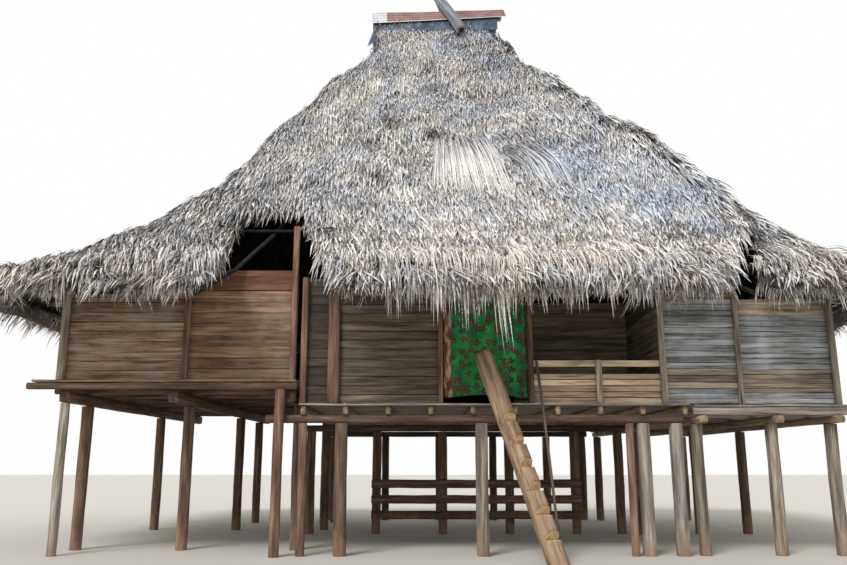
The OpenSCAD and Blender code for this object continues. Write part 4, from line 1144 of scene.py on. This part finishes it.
def makeFringeTree():
    labels = ("Spacing", "Nearest", "Farthest", "Share", "Standing")
    tree, given, result = geometryTree("eave fringe", {
        **dict.fromkeys(labels, "Float"), "Seed": "Int", "Tufts": "Collection", "Material": "Material"})
    seed = given["Seed"]
    curve = field(tree, "GeometryNodeMeshToCurve", {"Mesh": given["Geometry"]})
    rows = field(tree, "GeometryNodeResampleCurve", {"Curve": curve, "Length": given["Spacing"]}, mode="LENGTH")
    spots = field(tree, "GeometryNodeCurveToPoints", {"Curve": rows}, mode="EVALUATED")
    inward = named(tree, "inward", "FLOAT_VECTOR")
    back = spread(randomOf(0.0, 1.0, seed), 0.0, 1.0, given["Nearest"], given["Farthest"])
    rise = randomOf(0.0, 1.0, seed + 1.0) * given["Standing"]
    jitter = randomOf((-0.02, -0.02, -0.01), (0.02, 0.02, 0.01), seed, "FLOAT_VECTOR") + xyz(tree, z=rise)
    rooted = stored(moved(spots, inward * back + jitter), "back", back, "POINT")
    bundle = noiseOf(field(tree, "GeometryNodeInputPosition"), scale=5.0, detail=1.0, roughness=0.5)
    facing = facingTo((0.0, 0.0, 1.0), inward * (-1.0, -1.0, 0.0))
    turned = turnedBy(facing, 0.0, (bundle - 0.5) * 0.45, randomOf(-0.4, 0.4, seed))
    rootBack = named(tree, "back")
    fall = named(tree, "drop") * spread(bundle, 0.32, 0.68, 0.72, 1.28)
    share = given["Share"] * randomOf(0.5, 1.2, seed + 2.0)
    drop = fall * share + rootBack * partsOf(inward)[2]
    out = rootBack + named(tree, "overhang") * randomOf(0.3, 1.2, seed)
    connect(instanced(rooted, given, turned, xyz(tree, 1.0, out, drop)), result.inputs[0])
    return tree


fringeTree = makeFringeTree()
for label, kinds in (("hanging", hangingTufts), ("draped", drapedTufts)):
    name = "thatch_fringe_" + label
    values = {**fringe[label], "Tufts": kinds, "Material": leaf}
    mesh = grown(name, fringeTree, values, eaveLine(fringe["highest"][label]))
    print(label, "fringe", triangleCount(mesh), "triangles")
    dress(newObject(name, tinted(mesh)), "palm_thatch", *thatch["nodes"])


# Loose fronds spread over the front

fronds = {
    # Each from the line of its roots to the line of its tips: x and y of the two lines' ends, and its leaves
    "spread": (((-0.13, -1.62), (0.66, -1.58), (-0.2, -2.5), (1.12, -2.66), 240),
               ((0.98, -1.80), (1.6, -1.76), (1.46, -2.42), (2.2, -2.55), 110)),
    "steps": 6,
    "tipScatter": (-0.12, 0.25),
    "rootScatter": (0.04, 0.05),
    "bulge": (0.62, 0.28),   # where a leaf bends, as shares of its way across and down
    "width": (0.009, 0.02),
    "rise": (0.12, 0.25),
    "root": -0.03,
    "tone": 0.8,
}


def makeFronds():
    over = BVHTree.FromBMesh(roof)
    rng = random.Random(81)
    leaves = emptyLeaves()
    for firstRoot, lastRoot, firstTip, lastTip, count in fronds["spread"]:
        for index in range(count):
            share = (index + rng.random()) / count
            end = Vector(firstTip).lerp(Vector(lastTip), share)
            end.y += rng.uniform(*fronds["tipScatter"])
            start = Vector(firstRoot).lerp(Vector(lastRoot), share ** 1.3)
            start += Vector([rng.gauss(0, scatter) for scatter in fronds["rootScatter"]])
            elbow = start + (end - start) * Vector(fronds["bulge"])
            rise, width = rng.uniform(*fronds["rise"]), rng.uniform(*fronds["width"])
            middles = []
            for step in range(fronds["steps"] + 1):
                t = step / fronds["steps"]
                flat = start * (1 - t) ** 2 + elbow * (2 * t * (1 - t)) + end * t ** 2
                spot = over.ray_cast(Vector((flat.x, flat.y, 20)), Vector((0, 0, -1)))
                lift = fronds["root"] + rise * math.sin(math.pi * 0.85 * t ** 0.5)
                middles.append(spot[0] + spot[1] * lift)
            run = middles[3] - middles[2]
            side = run.cross(spot[1]).normalized()
            side = Matrix.Rotation(rng.gauss(0, 0.4), 3, run.normalized()) @ side
            widths = [width * 0.7] + [width] * (fronds["steps"] - 1)
            blade(leaves, middles, side, widths, rng.uniform(0.2, 1.1))
    mesh = leavesMesh("thatch_fronds", leaves)
    stamp(mesh, "tone", np.full(len(mesh.vertices), fronds["tone"]))
    dress(newObject("thatch_fronds", tinted(mesh), leaf), "palm_thatch", "thatch_front")


makeFronds()
print("thatch made")


# Ridge: tarp, corrugated sheet and crossed poles

ridge = {
    "ribs": 4.5,             # ribs from the ridge line down to one lip; they run along the house
    "ribHeight": 0.009,
    "sheetThickness": 0.0016,
    "leftDrop": 0.072,       # the sheet's left end lies lower
    "lips": (9.995, 10.165),  # height of the front lip at the left and at the right end
    "bareEnd": 0.29,         # length of the galvanised piece at the left end
    "sideEnds": {-1: 0.05, 1: -0.05},   # how much longer the front and the rear side are at the right end
    "rounding": 0.003,       # of the ridge line
    "lipCurl": 0.02,
    "sag": 0.012,
    "tarpUnder": 0.01,       # the tarp's ridge line lies this much lower
    "tarpBulge": 0.09,
    "tarpWrinkle": 0.016,
    "hems": ((0.0, 9.30), (0.05, 9.45), (0.10, 9.60), (0.24, 9.70), (0.34, 9.80), (1.0, 9.82)),
    "logGrowth": (1.4, 1.2),    # the front and the rear log against the CAD poles
    "logShift": (-0.07, -0.27),
    # the near-black core that paints the shade in the poles' hollow ends, against their thickness
    "pith": 0.55,
}


def sheetMesh(name, across, down, shape):
    # A grid of points given by shape(u, v), with u and v from 0 to 1
    cloth = [(column / across, row / down, 0.0) for row in range(down + 1) for column in range(across + 1)]
    corners = [row * (across + 1) + column for row in range(down) for column in range(across)]
    faces = [(a, a + across + 1, a + across + 2, a + 1) for a in corners]
    mesh = meshOf(name, [shape(u, v) for u, v, _ in cloth], faces)
    stamp(mesh, "cloth", cloth)
    mesh.shade_smooth()
    return mesh


def thickened(piece, thickness):
    solid = piece.modifiers.new("thickness", "SOLIDIFY")
    solid.thickness = thickness
    solid.offset = 0
    mesh = evaluated(piece)
    piece.modifiers.clear()
    piece.data = mesh
    return piece


def rustMaterial():
    material, tree = newMaterial("rusted sheet")
    spot = objectPlaceOf(tree)
    runs = noiseOf(spot * (5.0, 30.0, 30.0))
    amount = noiseOf(spot, scale=3.0, detail=6.0, roughness=0.7) * 0.65 + runs * 0.35
    rust = ramp(amount, (0.34, (168, 148, 144)), (0.46, (154, 122, 118)), (0.58, (140, 104, 100)),
                (0.72, (112, 80, 76)))
    zinc = ramp(amount, (0.4, (226, 228, 230)), (0.6, (190, 190, 192)))
    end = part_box("ridge_sheet")[0].x + ridge["bareEnd"]
    bare = spread(partsOf(spot)[0], end + 0.02, end)
    fromMiddle = worked("ABSOLUTE", partsOf(attribute(tree, "cloth", "Vector"))[1] - 0.5)
    colour = mixed(spread(fromMiddle, 0.452, 0.462), mixed(bare, rust, zinc), (236, 228, 212))
    return finished(material, colour, spread(amount, 0.4, 0.6, 0.5, 0.85), runs, 0.25, 0.002)


def tarpMaterial():
    material, tree = newMaterial("tarp")
    spot = objectPlaceOf(tree)
    fade = noiseOf(spot, scale=4.0, detail=5.0)
    colour = ramp(fade, (0.35, (28, 40, 56)), (0.55, (46, 66, 92)), (0.7, (84, 104, 130)))
    weave = field(tree, "ShaderNodeTexChecker", {"Vector": spot, "Scale": 400.0}, 1)
    return finished(material, colour, 0.55, weave, 0.15, 0.001)


def makeRidge():
    low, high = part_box("ridge_sheet")
    slope = (high.z - low.z) / high.y

    def corrugated(u, v):
        # v runs from the front lip over the ridge line to the rear one
        side, out = (-1 if v < 0.5 else 1), abs(v - 0.5) * 2
        top = high.z - ridge["leftDrop"] * (1 - u)
        lipHeight = float(np.interp(u, (0, 1), ridge["lips"]))
        fall = (top - lipHeight) * math.sqrt((out ** 2 + ridge["rounding"]) / (1 + ridge["rounding"]))
        lift = math.sin(2 * math.pi * ridge["ribs"] * out) * ridge["ribHeight"]
        curl = ridge["lipCurl"] * max(0.0, out - 0.9) / 0.1
        sag = noise.noise(Vector((u * 3.5, 0.3, out))) * ridge["sag"]
        end = high.x + ridge["sideEnds"][side] * out
        return (low.x + (end - low.x) * u, side * (fall / slope + lift + curl), top - fall + sag)

    sheet = newObject("ridge_sheet_metal", sheetMesh("ridge_sheet_metal", 36, 64, corrugated), rustMaterial())
    dress(thickened(sheet, ridge["sheetThickness"]), "rusted_sheet", "ridge_sheet")

    tarpLow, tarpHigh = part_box("ridge_tarp")

    def draped(u, v):
        side, out = (-1 if v < 0.5 else 1), abs(v - 0.5) * 2
        ragged = 0.03 * noise.noise(Vector((u * 9, 2.0, side)))
        ragged += 0.012 * noise.noise(Vector((u * 31, 5.0, side)))
        top = tarpHigh.z - ridge["leftDrop"] * (1 - u) - ridge["tarpUnder"]
        fall = (top - float(np.interp(u, *zip(*ridge["hems"]))) - ragged) * out
        fold = noise.noise(Vector((u * 15, out * 4, side * 7.0))) * ridge["tarpWrinkle"] * (0.3 + out)
        bulge = ridge["tarpBulge"] * max(0.0, out - 0.5) * 2 * max(0.0, 1 - u / 0.25)
        y = side * (fall / slope + bulge + fold * out)
        return (tarpLow.x + (tarpHigh.x - tarpLow.x) * u - bulge * (1 - u) + fold * 0.5, y, top - fall)

    tarp = newObject("ridge_tarp_cloth", sheetMesh("ridge_tarp_cloth", 100, 32, draped), tarpMaterial())
    dress(tarp, "tarp", "ridge_tarp")

    parts, hollow = emptyParts(), emptyParts()
    rng = random.Random(61)
    # The front log shows left of the rear one, so the poles stand the other way round
    for spots, growth, shift in zip(spotsOf("ridge_cross_poles"), ridge["logGrowth"], ridge["logShift"]):
        mirrored = spots * (1, -1, 1) + (shift, 0, 0)
        roundBar(parts, mirrored, rng, growth=growth, chip=0.06, sides=16)
        # Inside each pole a thinner near-black one, a little longer, paints the shade in its hollow end
        roundBar(hollow, mirrored, rng, growth=growth * ridge["pith"], longer=0.006, chip=0.0, sides=12)
    for label, group, wood in (("round", parts, "greyPole"), ("pith", hollow, "inner")):
        dress(partsObject("ridge_cross_poles_" + label, group, wood), "pole_wood", "ridge_cross_poles")


makeRidge()
print("ridge made")


# Curtain in the doorway

curtain = {"folds": 5.5, "depth": 0.022, "flat": (1.32, 1.63), "strip": 0.13, "flowersPerMetre": 7.5}


def curtainMaterial():
    material, tree = newMaterial("printed cloth")
    spots = attribute(tree, "cloth", "Vector") * (*curtain["flat"], 1.0)
    wobble = noiseOf(spots, scale=14.0, detail=2.0, roughness=0.5, output=1)
    bent = spots + wobble * (0.05, 0.05, 0.0)
    inputs = {"Vector": bent, "Scale": curtain["flowersPerMetre"], "Randomness": 0.75}
    flowers = add(tree, "ShaderNodeTexVoronoi", inputs, voronoi_dimensions="2D")
    far, tone, middle = [Field(tree, flowers.outputs[label]) for label in ("Distance", "Color", "Position")]
    hue = field(tree, "ShaderNodeSeparateColor", {0: tone})
    across, down, _ = partsOf(bent - middle)
    angle = worked("ARCTAN2", down, across) + hue * 6.0
    petals = far / spread(worked("COSINE", angle * 5.0), -1.0, 1.0, 0.22, 0.46)
    green = ramp(noiseOf(spots, scale=5.0, detail=2.0), (0.35, (14, 100, 52)), (0.6, (24, 150, 78)),
                 (0.75, (60, 176, 98)))
    petal = ramp(hue, (0.2, (86, 26, 26)), (0.5, (48, 40, 30)), (0.8, (104, 48, 36)))
    colour = mixed(spread(petals, 1.05, 0.9), green, petal)
    colour = mixed(spread(petals, 0.28, 0.2), colour, (150, 118, 76))
    strip = ramp(noiseOf(spots * (9.0, 3.0, 1.0), detail=2.0), (0.4, (206, 190, 160)), (0.5, (120, 80, 58)),
                 (0.6, (150, 48, 44)))
    colour = mixed(spread(partsOf(spots)[0], curtain["strip"], curtain["strip"] - 0.01), colour, strip)
    weave = field(tree, "ShaderNodeTexChecker", {"Vector": spots, "Scale": 700.0}, 1)
    return finished(material, colour, 0.8, weave, 0.1, 0.0005, **{"Sheen Weight": 0.15})


def makeCurtain():
    low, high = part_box("door_curtain")
    middle = (low.y + high.y) / 2 + 0.02

    def hung(u, v):
        # v runs from the rod down to the hem
        phase = 2 * math.pi * curtain["folds"] * (u + 0.03 * math.sin(5 * u + 2 * v))
        deep = curtain["depth"] * (0.35 + 0.65 * v) * (0.7 + 0.5 * noise.noise(Vector((u * 4, v * 1.2, 0))))
        y = middle + math.sin(phase) * deep + 0.012 * noise.noise(Vector((u * 3, v * 3, 4)))
        x = low.x + (high.x - low.x) * u + 0.008 * math.sin(2 * phase)
        lift = 0.035 * max(0.0, math.sin(math.pi * (u - 0.1) * 1.2)) * v
        return (x, y, high.z - (high.z - low.z) * v + lift)

    cloth = newObject("door_curtain_cloth", sheetMesh("door_curtain_cloth", 100, 50, hung), curtainMaterial())
    dress(cloth, "curtain_cloth", "door_curtain")


makeCurtain()
print("curtain made")


# Notched log ladder

ladder = {
    "cell": 0.07, "knocks": ((7.0, 0.006), (25.0, 0.0024)), "sink": 0.0036,
    "slice": 0.25, "cutShare": 0.9,   # in a slice, faces this much nearer the axis than its outside are cuts
    "footHeight": 0.01, "topHeight": 0.12, "sharp": math.radians(38),
}


def ladderMaterial():
    material, tree = newMaterial("ladder log")
    fibre, bands, cracks, height = grainOf(attribute(tree, "grain", "Vector"), 0.8)
    blended = bands * 0.6 + fibre * 0.4
    bark = ramp(blended, (0.1, (82, 64, 50)), (0.5, (150, 124, 98)), (0.9, (188, 164, 138)))
    hewn = ramp(blended, (0.1, (154, 124, 92)), (0.5, (206, 176, 138)), (0.9, (230, 206, 170)))
    colour = mixed(attribute(tree, "cut"), bark, hewn)
    return finished(material, mixed(cracks * 0.8, colour, (44, 34, 26)), 0.85, height, 0.5, 0.005)


def makeLadder():
    work = bmesh.new()
    work.from_mesh(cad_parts["ladder_log"].data)
    bmesh.ops.remove_doubles(work, verts=work.verts, dist=1e-5)
    spots = np.array([vertex.co for vertex in work.verts])
    heights = spots[:, 2]
    ends = [spots[heights < ladder["footHeight"]], spots[heights > heights.max() - ladder["topHeight"]]]
    start, end = [Vector((group.min(0) + group.max(0)) / 2) for group in ends]
    run = (end - start).normalized()
    side = Vector((1, 0, 0)) - run * run.x
    side.normalize()
    other = run.cross(side)

    def logPlace(spot):
        offset = spot - start
        return offset.dot(run), offset.dot(side), offset.dot(other)

    outermost = {}
    for spot in spots:
        along, x, y = logPlace(Vector(spot))
        slot = round(along / ladder["slice"])
        outermost[slot] = max(outermost.get(slot, 0.0), math.hypot(x, y))
    slots = sorted(outermost)
    radii = [outermost[slot] for slot in slots]
    cutLayer = work.faces.layers.float.new("cut")
    for face in work.faces:
        along, x, y = logPlace(face.calc_center_median())
        radius = float(np.interp(along / ladder["slice"], slots, radii))
        face[cutLayer] = 1.0 if math.hypot(x, y) < radius * ladder["cutShare"] else 0.0
    for _ in range(4):
        edges = [e for e in work.edges if e.calc_length() > ladder["cell"]]
        bmesh.ops.subdivide_edges(work, edges=edges, cuts=1)
        bmesh.ops.triangulate(work, faces=work.faces[:])
    bmesh.ops.dissolve_degenerate(work, dist=1e-4, edges=work.edges[:])
    work.normal_update()
    for vertex in work.verts:
        if vertex.co.z > ladder["footHeight"]:
            vertex.co += vertex.normal * (layeredNoise(vertex.co, ladder["knocks"]) - ladder["sink"])
    mesh = bpy.data.meshes.new("ladder_log_hewn")
    work.to_mesh(mesh)
    work.free()
    stamp(mesh, "grain", [logPlace(vertex.co) for vertex in mesh.vertices])
    mesh.shade_smooth()
    mesh.set_sharp_from_angle(angle=ladder["sharp"])
    dress(newObject("ladder_log_hewn", mesh, ladderMaterial()), "ladder_wood", "ladder_log")


makeLadder()


# Door frame, porch posts and handrail

doorFrame = {"left": 0.07, "right": 0.08, "depth": 0.08, "lintel": (3.79, 3.87)}
inside = ("inner_posts", "roof_plates", "ridge_pole", "front_rafters", "rear_rafters", "end_rafters",
          "thatch_battens", "curtain_rod")


def makeFrontPosts():
    rng = random.Random(71)
    parts, pale = emptyParts(), emptyParts()
    for low, high in solidsOf("front_wall_posts"):
        if high[0] - low[0] < 0.5:
            boxBar(pale if low[0] > 2 else parts, low, high, rng)
            continue
        # The door frame is one solid: its left and right post and the lintel
        left, front = low[0] + doorFrame["left"], low[1] + doorFrame["depth"]
        back = high[1] - doorFrame["depth"]
        foot, head = doorFrame["lintel"]
        rightPost = ((high[0] - doorFrame["right"], *low[1:]), (high[0], front, high[2]))
        for a, b in ((low, (left, front, high[2])), rightPost, ((left, back, foot), (*high[:2], head))):
            boxBar(parts, np.array(a), np.array(b), rng)
    for name, group, wood in (("front_wall_posts_hewn", parts, "stud"),
                              ("porch_posts_hewn", pale, "paleStud")):
        dress(partsObject(name, group, wood), "stud_wood", "front_wall_posts")
    pole = emptyParts()
    roundBar(pole, spotsOf("handrail_pole")[0], rng, chip=0.08, wander=0.01)
    dress(partsObject("handrail_pole_round", pole, "brownPole"), "pole_wood", "handrail_pole")


makeFrontPosts()
# The parts inside the house take the near-black inner wood: painted shade of the unlit inside
for nodeName in inside:
    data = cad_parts[nodeName].data
    data.materials.clear()
    data.materials.append(woods["inner"])
print("ladder, door frame and poles made")


# Camera, stage and light

view = {"place": (-0.35, -14.93, 1.28), "tilt": 12.54, "lens": 34.0, "sensor": 36.0}
light = {"energy": 2.3, "angle": 20, "turn": (40, -18, -10), "sky": 0.78}
stage = {"reach": 60.0, "tone": (196, 192, 184), "roughness": 0.9}

lens = bpy.data.cameras.new("camera")
lens.lens = view["lens"]
lens.sensor_width = view["sensor"]
camera = bpy.data.objects.new("camera", lens)
camera.location = view["place"]
camera.rotation_euler = (math.radians(90 + view["tilt"]), 0, 0)
bpy.context.scene.collection.objects.link(camera)
bpy.context.scene.camera = camera

sunData = bpy.data.lights.new("sun", "SUN")
sunData.energy = light["energy"]
sunData.angle = math.radians(light["angle"])
sun = bpy.data.objects.new("sun", sunData)
sun.rotation_euler = [math.radians(turn) for turn in light["turn"]]
bpy.context.scene.collection.objects.link(sun)

world = bpy.data.worlds.new("world")
bpy.context.scene.world = world
world.use_nodes = True
sky = world.node_tree
rays = add(sky, "ShaderNodeLightPath")
seen = Field(sky, rays.outputs["Is Camera Ray"])
for label in ("Is Glossy Ray", "Is Transmission Ray"):
    seen = worked("MAXIMUM", seen, Field(sky, rays.outputs[label]))
background = sky.nodes["Background"]
connect((1.0, 1.0, 1.0, 1.0), background.inputs["Color"])
connect(spread(seen, 0.0, 1.0, light["sky"], 1.0), background.inputs["Strength"])

reach = stage["reach"]
floorMesh = meshOf("floor", [(-reach, -reach, 0), (reach, -reach, 0), (reach, reach, 0), (-reach, reach, 0)],
                   [(0, 1, 2, 3)])
floorMaterial, floorTree = newMaterial("floor")
floorShader = floorTree.nodes["Principled BSDF"]
connect(srgb(*stage["tone"]), floorShader.inputs["Base Color"])
connect(stage["roughness"], floorShader.inputs["Roughness"])
stageFloor = newObject("floor", floorMesh, floorMaterial)

bpy.context.scene.view_settings.view_transform = "Standard"

added = [piece.data for piece in bpy.context.scene.objects
         if piece.type == "MESH" and piece.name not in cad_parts]
print("scene adds", sum(triangleCount(mesh) for mesh in added), "triangles, floor and start cube included")
